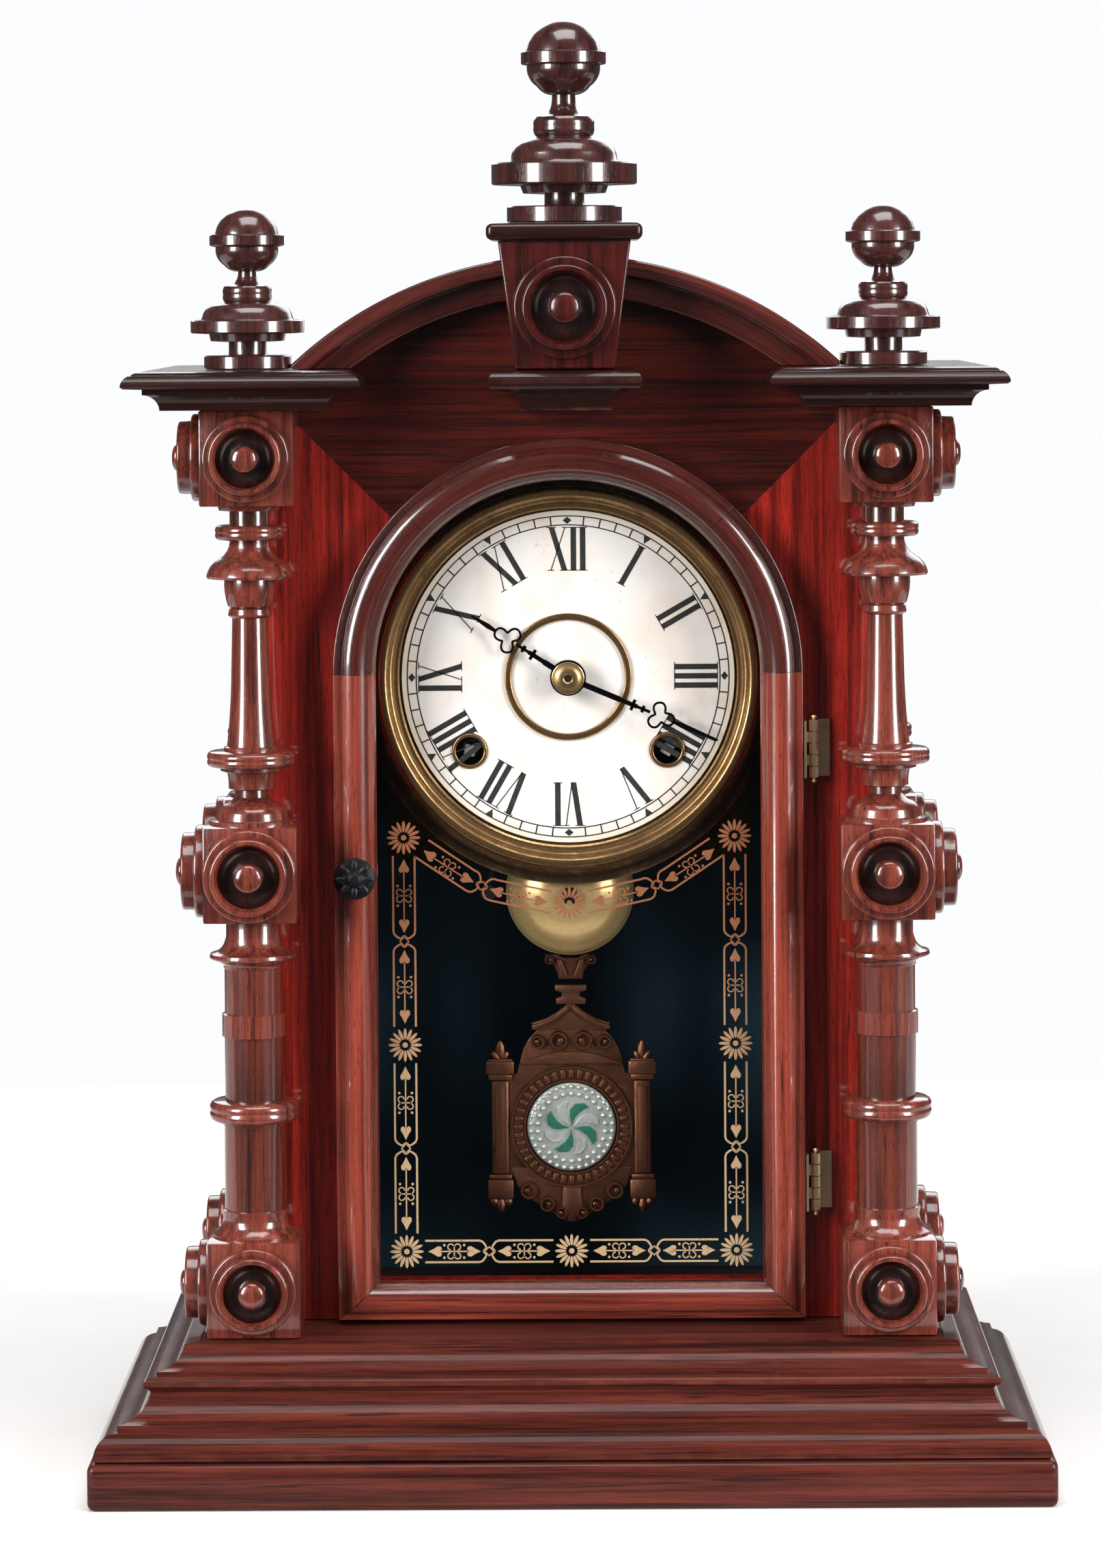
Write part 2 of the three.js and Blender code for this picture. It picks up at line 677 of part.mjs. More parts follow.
// The knob's shaft runs through the frame and a slot in the panel; its tongue turns behind the panel.
{
  const stand = group(KNOB_X, 0, KNOB_Z, door);
  const knobBack = DOOR_FRONT_Y - GAP;
  const tongueY = PANEL_FRONT_Y + PANEL_T + 1;
  const tongueT = 1;
  const knob = turned(
    [
      [0, knobBack - 7],
      [KNOB_R - 2, knobBack - 6.6],
      [KNOB_R, knobBack - 4.6],
      [KNOB_R, knobBack - 3.4],
      [3, knobBack - 2.4],
      [3.6, knobBack],
      [KNOB_SHAFT_R, knobBack],
      [KNOB_SHAFT_R, tongueY + tongueT + 1],
      [0, tongueY + tongueT + 1],
    ],
    12,
  );
  piece("door_knob", knob, blackIron, stand);
  const tongue = cut(
    box(-3, 6.5, tongueY, tongueY + tongueT, -2, 2),
    rod(KNOB_SHAFT_R + 0.1, tongueY - 2, tongueY + 4, 12),
  );
  const slim = box(-KNOB_SHAFT_R - 0.9, 6.5, tongueY - 1, tongueY + 4, -2, 2);
  piece("door_latch", tongue.intersect(slim), steel, stand);
}

// Butt hinges: five knuckles on a pin, three of them on the case's leaf.
function hinge(word, z) {
  const onCase = group(HINGE_PIN_X, HINGE_PIN_Y, z);
  const onDoor = group(HINGE_PIN_X, HINGE_PIN_Y, z, door);
  const pitch = HINGE_H / 5;
  const bore = rod(HINGE_PIN_R + 0.12, -2, HINGE_H + 2, 8, "z");
  const knuckle = (i) =>
    rod(HINGE_R, i * pitch + 0.15, (i + 1) * pitch - 0.15, 8, "z");
  const wall = PANEL_FRONT_Y - GAP - HINGE_PIN_Y; // from the pin back to the case's front
  const slab = box(-1, 5.5, wall - HINGE_LEAF_T, wall, 0.15, HINGE_H - 0.15);
  const caseArm = (i) =>
    box(HINGE_R - HINGE_LEAF_T - 0.1, HINGE_R - 0.1, 0, wall - 0.1, i * pitch + 0.15, (i + 1) * pitch - 0.15);
  const caseLeaf = join(slab, ...[0, 2, 4].flatMap((i) => [knuckle(i), caseArm(i)]));
  piece(`${word}_hinge_case_leaf`, cut(caseLeaf, bore), brass, onCase);
  const edge = DOOR_HALF_W + GAP - HINGE_PIN_X; // from the pin in to the door's edge
  const stripFront = DOOR_FRONT_Y + 3.2 - HINGE_PIN_Y;
  const strip = box(edge, edge + HINGE_LEAF_T, stripFront, wall - 0.3, 0.15, HINGE_H - 0.15);
  const doorArm = (i) =>
    box(edge, -HINGE_PIN_R - 0.3, -0.5, 0.5, i * pitch + 0.15, (i + 1) * pitch - 0.15);
  const doorLeaf = join(strip, ...[1, 3].flatMap((i) => [knuckle(i), doorArm(i)]));
  const sweep = (i) => rod(HINGE_R + 0.25, i * pitch - 0.1, (i + 1) * pitch + 0.1, 8, "z");
  const clearance = join(...[0, 2, 4].map(sweep));
  piece(`${word}_hinge_door_leaf`, cut(doorLeaf, bore, clearance), brass, onDoor);
  const pin = turned(
    [
      [0, -1.6],
      [1.1, -1.4],
      [1.1, -0.4],
      [HINGE_PIN_R, -0.3],
      [HINGE_PIN_R, HINGE_H + 0.3],
      [1.1, HINGE_H + 0.4],
      [1.1, HINGE_H + 1.4],
      [0, HINGE_H + 1.6],
    ],
    8,
    "z",
  );
  piece(`${word}_hinge_pin`, pin, brass, onCase);
}
hinge("upper", DOOR_ARCH_Z - HINGE_INSET);
hinge("lower", DOOR_BOTTOM_Z + HINGE_INSET);

// ---------------------------------------------------------------- dial
const dial = group(0, DIAL_Y, DIAL_Z);
const windingPlaces = [-WINDING_X, WINDING_X];
const pipeClear = 4;
{
  const dish = turned(
    [
      [pipeClear, 0],
      [PAPER_R + 2, 0],
      [BEZEL_R - 1, -1],
      [BEZEL_R + 0.5, -1],
      [PAN_R, 3],
      [PAN_R, 4.2],
      [BEZEL_R, 1.2],
      [pipeClear, 1.2],
      [pipeClear, 0],
    ],
    DISC_SIDES,
  );
  const eyelets = windingPlaces.map((x) =>
    ring(EYELET_HOLE_R, EYELET_R, -1.8, 1, 10).translate([x, 0, -WINDING_DROP]),
  );
  const holes = windingPlaces.map((x) => rod(EYELET_HOLE_R, -3, 5, 10).translate([x, 0, -WINDING_DROP]));
  const footPlaces = [-64.4, 64.4, -145.8, 145.8].map((degrees) =>
    circlePoint(Math.abs(degrees) < 90 ? PAN_R - 14.5 : PAN_R - 6, degrees),
  );
  const feet = footPlaces.map(([x, z]) =>
    rod(1.8, 0.6, PLATE_FRONT_Y - GAP - DIAL_Y, 6).translate([x, 0, z]),
  );
  piece("dial_pan", cut(join(dish, ...eyelets, ...feet), ...holes), brass, dial);
}
{
  const sheet = ring(pipeClear, PAPER_R, -0.9, -GAP, DISC_SIDES);
  const holes = windingPlaces.map((x) => rod(EYELET_R + GAP, -3, 2, 10).translate([x, 0, -WINDING_DROP]));
  piece("dial_paper", cut(sheet, ...holes), paper, dial);
}
piece(
  "dial_bezel",
  turned(
    [
      [PAPER_R + GAP, -1.3],
      [PAPER_R + GAP, -3],
      [BEZEL_R - 5.1, -4.4],
      [BEZEL_R - 2.6, -8],
      [BEZEL_R - 0.7, -7.6],
      [BEZEL_R, -5],
      [BEZEL_R, -1.3],
      [PAPER_R + GAP, -1.3],
    ],
    DISC_SIDES,
  ),
  brass,
  dial,
);
piece("dial_ring", ring(RING_R - 2.2, RING_R, -2, -1.2, DISC_SIDES), brass, dial);

// A hand points up along Z, is pierced by its arbor and turns to its angle.
function hand(length, tail, bore, boss, y0, y1, angle) {
  const outline = [
    [-1.5, 0],
    [-1.1, -tail],
    [1.1, -tail],
    [1.5, 0],
    [0.8, length * 0.45],
    [4, length * 0.62],
    [1, length * 0.78],
    [0.3, length],
    [-0.3, length],
    [-1, length * 0.78],
    [-4, length * 0.62],
    [-0.8, length * 0.45],
  ];
  const blade = plate(outline, y0, y1);
  const eye = rod(boss, y0, y1, 12);
  return cut(join(blade, eye), rod(bore, y0 - 2, y1 + 2, 12)).rotate([0, angle, 0]);
}
const centerR = 1.2;
const pipeBore = 1.6;
const pipeR = 2.6;
const hourHand = hand(HOUR_HAND_L, 0.5, pipeR + 0.1, 4.2, -4.6, -3.8, HOUR_HAND_ANGLE);
piece("hour_hand", hourHand, blackIron, dial);
const minuteHand = hand(MINUTE_HAND_L, 0.5, centerR + 0.1, 3.2, -6.8, -6, MINUTE_HAND_ANGLE);
piece("minute_hand", minuteHand, blackIron, dial);
const nut = turned([[0, -9.6], [4.4, -9.4], [6, -8.4], [6, -7.1], [0, -7.1]], 12);
piece("hand_nut", cut(nut, rod(centerR + 0.1, -9, 0, 12)), brass, dial);

// ---------------------------------------------------------------- movement
// Outline of a wheel: teeth that come to a small point, or square leaves for a pinion.
function toothed(teeth, pitchR, squareLeaf, phase = 0) {
  const module = (2 * pitchR) / teeth;
  const tip = pitchR + (squareLeaf ? 0.7 : 0.75) * module;
  const root = pitchR - (squareLeaf ? 1.15 : 1.1) * module;
  const step = 360 / teeth;
  const points = [];
  for (let i = 0; i < teeth; i += 1) {
    const a = (i + phase) * step;
    if (squareLeaf) {
      points.push(circlePoint(root, a - 0.17 * step), circlePoint(tip, a - 0.1 * step));
      points.push(circlePoint(tip, a + 0.1 * step), circlePoint(root, a + 0.17 * step));
    } else {
      points.push(circlePoint(tip, a), circlePoint(root, a + 0.5 * step));
    }
  }
  return points.reverse();
}

const wheel = (teeth, pitchR, y0, y1, phase = 0) => plate(toothed(teeth, pitchR, false, phase), y0, y1);
const pinion = (teeth, pitchR, y0, y1, phase = 0) => plate(toothed(teeth, pitchR, true, phase), y0, y1);

// Pitch radii of two wheels that mesh over a distance.
const pitchRadii = (teethA, teethB, distance) => [
  (distance * teethA) / (teethA + teethB),
  (distance * teethB) / (teethA + teethB),
];
// The phase, in teeth, that puts a gap of this wheel opposite a tooth of its neighbour.
function meshPhase(teeth, direction, neighbourTeeth, neighbourPhase) {
  const toothAt = (direction + 180) / (360 / neighbourTeeth) - neighbourPhase;
  const offset = toothAt - Math.round(toothAt);
  return direction / (360 / teeth) + 0.5 + offset;
}
const bearing = (dx, dz) => THREE.MathUtils.radToDeg(Math.atan2(dx, dz));

const thirdX = -9;
const centerToThird = 23.4;
const thirdZ = -Math.sqrt(centerToThird ** 2 - thirdX ** 2);
const escapeX = -6;
const escapeZ = -PIVOT_DROP - 17;
const windingDistance = Math.hypot(WINDING_X, WINDING_DROP);
const thirdToEscape = Math.hypot(escapeX - thirdX, escapeZ - thirdZ);
const motionDistance = 14.4;

const [greatR, centerPinionR] = pitchRadii(GREAT_TEETH, PINION_LEAVES, windingDistance);
const [centerWheelR, thirdPinionR] = pitchRadii(CENTER_TEETH, PINION_LEAVES, centerToThird);
const [thirdWheelR, escapePinionR] = pitchRadii(THIRD_TEETH, PINION_LEAVES, thirdToEscape);
const [cannonR, minuteWheelR] = pitchRadii(CANNON_TEETH, MINUTE_WHEEL_TEETH, motionDistance);
const [minutePinionR, hourWheelR] = pitchRadii(MINUTE_PINION_TEETH, HOUR_WHEEL_TEETH, motionDistance);

const movement = group(0, 0, DIAL_Z);
const backPivotY = PLATE_BACK_Y + 1.2;
const frontPivotY = PLATE_FRONT_Y - 0.4;

// An arbor between the plates, thinned to pivots that turn in their holes.
const pivotR = 0.7;
function arbor(front = frontPivotY, r = ARBOR_R) {
  const thick = front < frontPivotY ? front : INSIDE_Y + 0.4;
  const profile = [
    [0, thick],
    [r, thick],
    [r, PLATE_BACK_Y - 0.4],
    [pivotR, PLATE_BACK_Y - 0.4],
    [pivotR, backPivotY],
    [0, backPivotY],
  ];
  const body = turned(profile, 8);
  return front < frontPivotY ? body : body.add(rod(pivotR, front, INSIDE_Y + 1, 8));
}

const springStrip = 1.1;
const springWidth = 9;
const springY = PLATE_BACK_Y - springWidth - 1;
const springR = 19;
const hubR = 4.4;
const windingR = 2.8;
const hammerX = -BELL_R - 2;
const hammerZ = -55;
const escapeBore = ARBOR_R + GAP;
const pillars = [[-58, -61], [58, -61], [-54, 27], [54, 27]];

{
  const blank = box(
    -PLATE_HALF_W,
    PLATE_HALF_W,
    PLATE_FRONT_Y,
    INSIDE_Y,
    PLATE_BOTTOM_Z - DIAL_Z,
    PLATE_TOP_Z - DIAL_Z,
  );
  const hole = (r, x, z) => rod(r, PLATE_FRONT_Y - 5, INSIDE_Y + 5, 8).translate([x, 0, z]);
  const holes = [
    hole(centerR + GAP, 0, 0),
    hole(pivotR + GAP, thirdX, thirdZ),
    hole(escapeBore, escapeX, escapeZ),
    hole(windingR + GAP, -WINDING_X, -WINDING_DROP),
    hole(windingR + GAP, WINDING_X, -WINDING_DROP),
    hole(ARBOR_R + GAP, hammerX, hammerZ),
  ];
  const stud = (r, front, x, z) => rod(r, front, PLATE_FRONT_Y + 0.5, 8).translate([x, 0, z]);
  const post = box(-2.5, 2.5, 21, PLATE_FRONT_Y + 0.5, -PIVOT_DROP + 5, -PIVOT_DROP + 9.5);
  const body = join(blank, stud(1, 25.2, 0, -PIVOT_DROP), stud(1, 22.4, 0, motionDistance), post);
  piece("front_plate", cut(body, ...holes), brass, movement);
}
{
  const back = PLATE_BACK_Y + PLATE_T;
  const bottom = PLATE_BOTTOM_Z - DIAL_Z;
  const top = PLATE_TOP_Z - DIAL_Z;
  const blank = box(-PLATE_HALF_W, PLATE_HALF_W, PLATE_BACK_Y, back, bottom, top);
  const hole = (r, x, z) => rod(r, PLATE_BACK_Y - 5, back + 5, 8).translate([x, 0, z]);
  const holes = [
    [0, 0],
    [thirdX, thirdZ],
    [escapeX, escapeZ],
    [-WINDING_X, -WINDING_DROP],
    [WINDING_X, -WINDING_DROP],
    [hammerX, hammerZ],
  ].map(([x, z]) => hole(pivotR + GAP, x, z));
  const posts = pillars.map(([x, z]) =>
    rod(2.4, INSIDE_Y + GAP, CASE_BACK_Y - BACK_T - GAP, 6).translate([x, 0, z]),
  );
  piece("back_plate", cut(join(blank, ...posts), ...holes), brass, movement);
}

// Winding arbor: a square for the key in front, a ratchet wheel and the spring's hub behind.
function windingArbor(x, name, turn) {
  const stand = group(x, 0, -WINDING_DROP, movement);
  const squareHalf = 1.8;
  const squareBack = 16;
  const square = box(-squareHalf, squareHalf, 1.4, squareBack, -squareHalf, squareHalf).rotate([0, turn, 0]);
  const ratchet = plate(toothed(16, 7.6, false), INSIDE_Y + 4.6, INSIDE_Y + 6);
  const hub = rod(hubR, springY - 0.5, springY + springWidth + 0.3, 8);
  const shaft = arbor(squareBack - 1, windingR);
  piece(name, join(square, shaft, ratchet, hub), steel, stand);
}
windingArbor(WINDING_X, "time_winding_arbor", 30);
windingArbor(-WINDING_X, "strike_winding_arbor", 12);

// Great wheels run loose on the winding arbors.
const greatY = INSIDE_Y + 1.4;
const centerAngle = bearing(-WINDING_X, WINDING_DROP);
{
  const stand = group(WINDING_X, 0, -WINDING_DROP, movement);
  const phase = meshPhase(GREAT_TEETH, centerAngle, PINION_LEAVES, 0);
  const body = wheel(GREAT_TEETH, greatR, greatY, greatY + WHEEL_T, phase);
  piece("time_great_wheel", cut(body, rod(windingR + GAP, 0, 60, 12)), brass, stand);
  const strike = group(-WINDING_X, 0, -WINDING_DROP, movement);
  const other = wheel(STRIKE_TEETH, 21, greatY, greatY + WHEEL_T);
  piece("strike_great_wheel", cut(other, rod(windingR + GAP, 0, 60, 12)), brass, strike);
}

// A mainspring: a flat steel strip wound from its hub out.
function mainspring(x, name, handed) {
  const turns = 3;
  const steps = turns * 10;
  const at = (i, r) => {
    const a = (handed * 2 * Math.PI * turns * i) / steps;
    const radius = r + ((springR - springStrip - hubR - 1) * i) / steps;
    return [radius * Math.cos(a), radius * Math.sin(a)];
  };
  const inner = Array.from({ length: steps + 1 }, (_, i) => at(i, hubR + 1));
  const outer = Array.from({ length: steps + 1 }, (_, i) => at(i, hubR + 1 + springStrip)).reverse();
  const strip = plate([...inner, ...outer], springY, springY + springWidth);
  piece(name, strip, steel, group(x, 0, -WINDING_DROP, movement));
}
mainspring(WINDING_X, "time_mainspring", 1);
mainspring(-WINDING_X, "strike_mainspring", -1);

// Centre arbor: pinion driven by the great wheel, centre wheel, and the cannon pinion in front.
const centerWheelY = INSIDE_Y + 6.6;
const cannonY = PLATE_FRONT_Y - 3;
piece(
  "center_arbor",
  join(
    arbor(DIAL_Y - 9, centerR),
    pinion(PINION_LEAVES, centerPinionR, greatY - 0.6, greatY + WHEEL_T + 0.6),
    wheel(CENTER_TEETH, centerWheelR, centerWheelY, centerWheelY + WHEEL_T),
    pinion(CANNON_TEETH, cannonR, cannonY, cannonY + 1.6),
  ),
  brass,
  movement,
);

const thirdWheelY = INSIDE_Y + 10.6;
{
  const toCenter = bearing(-thirdX, -thirdZ);
  const phase = meshPhase(PINION_LEAVES, toCenter, CENTER_TEETH, 0);
  const stand = group(thirdX, 0, thirdZ, movement);
  const leaves = pinion(PINION_LEAVES, thirdPinionR, centerWheelY - 0.6, centerWheelY + WHEEL_T + 0.6, phase);
  const body = join(arbor(), leaves, wheel(THIRD_TEETH, thirdWheelR, thirdWheelY, thirdWheelY + WHEEL_T));
  piece("third_wheel", body, brass, stand);
}

// The escape wheel runs in front of the plate, under the verge.
const escapeWheelY = PLATE_FRONT_Y - 3;
const escapeR = 11.5;
{
  const toThird = bearing(thirdX - escapeX, thirdZ - escapeZ);
  const phase = meshPhase(PINION_LEAVES, toThird, THIRD_TEETH, 0);
  const stand = group(escapeX, 0, escapeZ, movement);
  const leaves = pinion(PINION_LEAVES, escapePinionR, thirdWheelY - 0.6, thirdWheelY + WHEEL_T + 0.6, phase);
  const hooked = [];
  for (let i = 0; i < ESCAPE_TEETH; i += 1) {
    const a = (360 * i) / ESCAPE_TEETH;
    hooked.push(circlePoint(escapeR, a), circlePoint(escapeR - 2.4, a + 2.2));
  }
  const saw = plate(hooked.reverse(), escapeWheelY, escapeWheelY + WHEEL_T);
  piece("escape_wheel", join(arbor(escapeWheelY - 0.4), leaves, saw), brass, stand);
}

// Verge: a bent strip over the escape wheel, on a stud; its crutch reaches down to the pendulum rod.
const vergeY = PLATE_FRONT_Y - 3.4;
{
  const stand = group(0, 0, -PIVOT_DROP, movement);
  const dz = escapeZ + PIVOT_DROP;
  const lean = bearing(-escapeX, -dz);
  const reach = Math.hypot(escapeX, dz);
  const band = plate(
    [
      ...arc(escapeR + 3.6, lean - 44, lean + 44, 8, escapeX, dz),
      ...arc(escapeR + 1.8, lean + 44, lean - 44, 8, escapeX, dz),
    ].reverse(),
    vergeY,
    vergeY + 1.8,
  );
  const saddle = rod(2.6, vergeY, vergeY + 1.8, 8);
  const neckEnd = circlePoint(reach - escapeR - 2.6, lean + 180);
  const neck = plate([neckEnd, [1.6, -1], [-1.6, 1]], vergeY, vergeY + 1.8);
  const wire = box(-0.8, 0.8, vergeY - 1.6, vergeY + 0.2, -28, -1);
  const fork = cut(box(-3, 3, ROD_Y - 1.6, vergeY + 0.2, -29, -27), box(-1.1, 1.1, 0, ROD_Y + 1.1, -40, 0));
  const bore = rod(1 + GAP, 0, 60, 8);
  piece("verge", cut(join(band, saddle, neck, wire, fork), bore), steel, stand);
}

// Motion work: the minute wheel turns the hour wheel, whose pipe carries the hour hand.
const hourWheelY = PLATE_FRONT_Y - 6.4;
{
  const stand = group(0, 0, motionDistance, movement);
  const phase = meshPhase(MINUTE_WHEEL_TEETH, 180, CANNON_TEETH, 0);
  const body = join(
    wheel(MINUTE_WHEEL_TEETH, minuteWheelR, cannonY + 0.2, cannonY + 0.2 + WHEEL_T, phase),
    pinion(MINUTE_PINION_TEETH, minutePinionR, hourWheelY - 0.4, cannonY + 1),
  );
  piece("minute_wheel", cut(body, rod(1 + GAP, 0, 60, 8)), brass, stand);
  const hourPhase = meshPhase(HOUR_WHEEL_TEETH, 0, MINUTE_PINION_TEETH, 0);
  const hour = join(
    wheel(HOUR_WHEEL_TEETH, hourWheelR, hourWheelY, hourWheelY + WHEEL_T, hourPhase),
    rod(pipeR, DIAL_Y - 4.9, hourWheelY + 1, 12),
  );
  piece("hour_wheel", cut(hour, rod(pipeBore, -30, 60, 12)), brass, movement);
}

// ---------------------------------------------------------------- bell and hammer
{
  const stand = group(0, BELL_RIM_Y, BELL_Z);
  const wall = 1.2;
  const bowl = (r, depth) =>
    Array.from({ length: 5 }, (_, i) => {
      const a = (Math.PI / 2) * (i / 4);
      return [r * Math.sin(a), -depth * Math.cos(a)];
    });
  const outside = bowl(BELL_R, BELL_DEPTH);
  const inside = bowl(BELL_R - wall, BELL_DEPTH - wall).reverse();
  const cup = turned([...outside, ...inside], 16);
  piece("bell", cut(cup, rod(1.8, -30, 30, 8)), brass, stand);

  const armY = GAP * 2;
  const footX = BELL_R + 1;
  const footZ = PLATE_BOTTOM_Z + 5 - BELL_Z;
  const arm = plate(
    [
      [-2.2, -2.2],
      [2.2, -2.2],
      [footX + 3, footZ - 3],
      [footX + 3, footZ + 3],
      [footX - 3, footZ + 3],
      [-2.2, 2.2],
    ],
    armY,
    armY + 1.6,
  );
  const foot = box(footX - 3, footX + 3, armY, PLATE_FRONT_Y - GAP - BELL_RIM_Y, footZ - 2, footZ + 3);
  const stud = turned([[0, -BELL_DEPTH - 3], [1.4, -BELL_DEPTH - 3], [1.4, armY + 1], [0, armY + 1]], 8);
  const nut = rod(3, -BELL_DEPTH - 2.2, -BELL_DEPTH - 0.4, 6);
  piece("bell_standard", join(arm, foot, stud, nut), blackIron, stand);
}
{
  const stand = group(hammerX, 0, hammerZ, movement);
  const headDrop = BELL_Z - DIAL_Z - hammerZ;
  const head = rod(2.8, BELL_RIM_Y - 5, BELL_RIM_Y + 3, 8).translate([-3.6, 0, headDrop]);
  const arm = plate([[-4.4, headDrop], [-2.8, headDrop], [0.9, 0], [-0.9, 0]], BELL_RIM_Y, BELL_RIM_Y + 1.6);
  const shaft = arbor(BELL_RIM_Y, ARBOR_R);
  piece("hammer", join(head, arm, shaft), steel, stand);
}

// ---------------------------------------------------------------- pendulum
{
  const stand = group(0, ROD_Y, PIVOT_Z);
  const rodEnd = BOB_Z + 59.4 - PIVOT_Z;
  const wire = box(-0.6, 0.6, -0.7, 0.7, rodEnd, -1);
  const spring = box(-1.8, 1.8, -0.4, 0.4, -6, 4.6);
  piece("pendulum_rod", join(wire, spring), steel, stand);

  const bob = group(0, ROD_Y - BOB_T / 2, BOB_Z);
  const half = [
    [3, -37],
    [12, -30],
    [19, -28],
    [24, -36],
    [28.5, -30],
    [28.5, -20],
    [26.5, -20],
    [26.5, 13],
    [28.5, 14],
    [28.5, 20],
    [24, 27],
    [19, 20],
    [14, 32],
    [10, 34],
    [5, 44],
    [4, 50],
    [7, 57],
    [5, 59],
  ];
  const outline = [...half, ...half.map(([x, z]) => [-x, z]).reverse()];
  const frame = cut(plate(outline, 0, BOB_T), rod(BOB_GLASS_R + GAP, -5, BOB_T + 5, 20));
  piece("pendulum_bob", frame, castBronze, bob);
  const lens = turned(
    [
      [0, -1.2],
      [BOB_GLASS_R * 0.7, -0.8],
      [BOB_GLASS_R, 0.6],
      [BOB_GLASS_R, 2.6],
      [0, 2.6],
    ],
    20,
  );
  piece("bob_glass", lens, cutGlass, bob);
}

export default clock;
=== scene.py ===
# %% [markdown]
# # A mantel clock, finished for the eye
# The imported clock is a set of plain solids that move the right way. Each one stays where it is. The
# pieces that show are modelled again here, finer, inside the room that the plain solid takes, and ride
# on the same body. Those whose plain shape is already right, such as the wheels, only get a finish.
# Everything is worked in millimetres and brought down to metres when a piece is done.

import math

import bmesh
import bpy
from mathutils import Matrix, Vector


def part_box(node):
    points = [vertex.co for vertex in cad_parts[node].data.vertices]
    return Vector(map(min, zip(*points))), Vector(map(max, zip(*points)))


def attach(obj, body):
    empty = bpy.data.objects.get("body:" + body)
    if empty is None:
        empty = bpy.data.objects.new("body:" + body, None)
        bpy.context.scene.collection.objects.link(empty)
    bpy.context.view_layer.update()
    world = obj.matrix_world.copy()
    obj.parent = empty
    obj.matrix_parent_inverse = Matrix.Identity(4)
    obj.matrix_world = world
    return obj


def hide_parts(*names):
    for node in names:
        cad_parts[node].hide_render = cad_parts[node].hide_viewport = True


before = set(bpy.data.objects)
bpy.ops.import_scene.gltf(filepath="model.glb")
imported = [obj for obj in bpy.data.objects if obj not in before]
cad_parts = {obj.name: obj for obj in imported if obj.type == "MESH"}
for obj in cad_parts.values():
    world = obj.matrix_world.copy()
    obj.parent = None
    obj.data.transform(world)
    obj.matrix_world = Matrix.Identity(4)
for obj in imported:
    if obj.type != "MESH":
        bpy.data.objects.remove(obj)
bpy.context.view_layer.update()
MM = 0.001

# %% [markdown]
# A place is never typed in twice. `span` gives the two corners of a plain solid in millimetres, and a
# fine piece takes its place and its overall size from them.

# %% Sizes from the frame
def span(node):
    """The lowest and highest corner of a plain solid, in millimetres."""
    low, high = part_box(node)
    return Vector(low) / MM, Vector(high) / MM


def middle(node):
    """The middle of a plain solid's box, in millimetres."""
    low, high = span(node)
    return (low + high) / 2


DIAL = middle("dial_bezel")
FRONT = span("front_panel")[0].y
print("dial centre", [round(v, 1) for v in DIAL], "front of the case", round(FRONT, 1))

# %% [markdown]
# ## The camera, the room and the light
# The camera stands level with the head of the clock and about a metre and a half in front of it, so
# the tops of the base and cornices hardly show. A long lens keeps the sides from spreading, and a small
# shift frames the whole clock without tilting its columns. A wide pale floor and three soft lamps are
# enough: polished wood shows its shape by what it mirrors, so one large lamp stands on each side.

# %% Camera
CAMERA_PLACE = Vector((0.0095, -1.640, 0.390))
camera_data = bpy.data.cameras.new("camera")
camera_data.lens = 113.0
camera_data.sensor_width = 36.0
camera_data.shift_y = -0.2
camera = bpy.data.objects.new("camera", camera_data)
camera.location = CAMERA_PLACE
camera.rotation_euler = (math.radians(90 - 2.1), math.radians(0.4), math.radians(0.5))
bpy.context.scene.collection.objects.link(camera)
bpy.context.scene.camera = camera
print("camera", tuple(round(v, 3) for v in CAMERA_PLACE))


# %% Lights
def soft_lamp(name, place, aim, size, watts, tint):
    """A square area lamp that points at a place."""
    data = bpy.data.lights.new(name, "AREA")
    data.shape = "RECTANGLE"
    data.size, data.size_y = size
    data.energy = watts
    data.color = tint
    lamp = bpy.data.objects.new(name, data)
    lamp.location = place
    lamp.rotation_euler = (Vector(aim) - Vector(place)).to_track_quat("-Z", "Y").to_euler()
    bpy.context.scene.collection.objects.link(lamp)
    return lamp


HEART = (0, 0, 0.22)
soft_lamp("window_left", (-1.5, -1.3, 0.8), HEART, (0.7, 1.3), 80, (1.0, 0.98, 0.96))
soft_lamp("window_right", (1.5, -1.1, 0.7), HEART, (0.6, 1.2), 60, (1.0, 0.98, 0.97))
soft_lamp("overhead", (0.1, -0.5, 1.9), HEART, (1.4, 1.0), 34, (1.0, 1.0, 1.0))
soft_lamp("behind", (0.3, 1.9, 1.3), HEART, (2.4, 1.2), 30, (0.98, 0.99, 1.0))

world = bpy.data.worlds.new("studio")
world.use_nodes = True
backdrop = world.node_tree.nodes["Background"]
backdrop.inputs["Color"].default_value = (0.97, 0.98, 1.0, 1)
seen_directly = world.node_tree.nodes.new("ShaderNodeLightPath").outputs["Is Camera Ray"]
strength = world.node_tree.nodes.new("ShaderNodeMapRange")
strength.inputs["To Min"].default_value = 0.09
strength.inputs["To Max"].default_value = 1.0
world.node_tree.links.new(seen_directly, strength.inputs["Value"])
world.node_tree.links.new(strength.outputs[0], backdrop.inputs["Strength"])
bpy.context.scene.world = world
bpy.context.scene.view_settings.view_transform = "Standard"
print("lamps:", len(bpy.data.lights))

# %% [markdown]
# ## Writing a finish as a formula
# A finish in Blender is a graph of nodes. Long graphs read better as sums, so a `Channel` wraps one
# output and turns `a * b + 1` into Math nodes. A `Finish` holds one material and has a single method
# that makes any other node: it sets the node's own settings first and then its inputs.

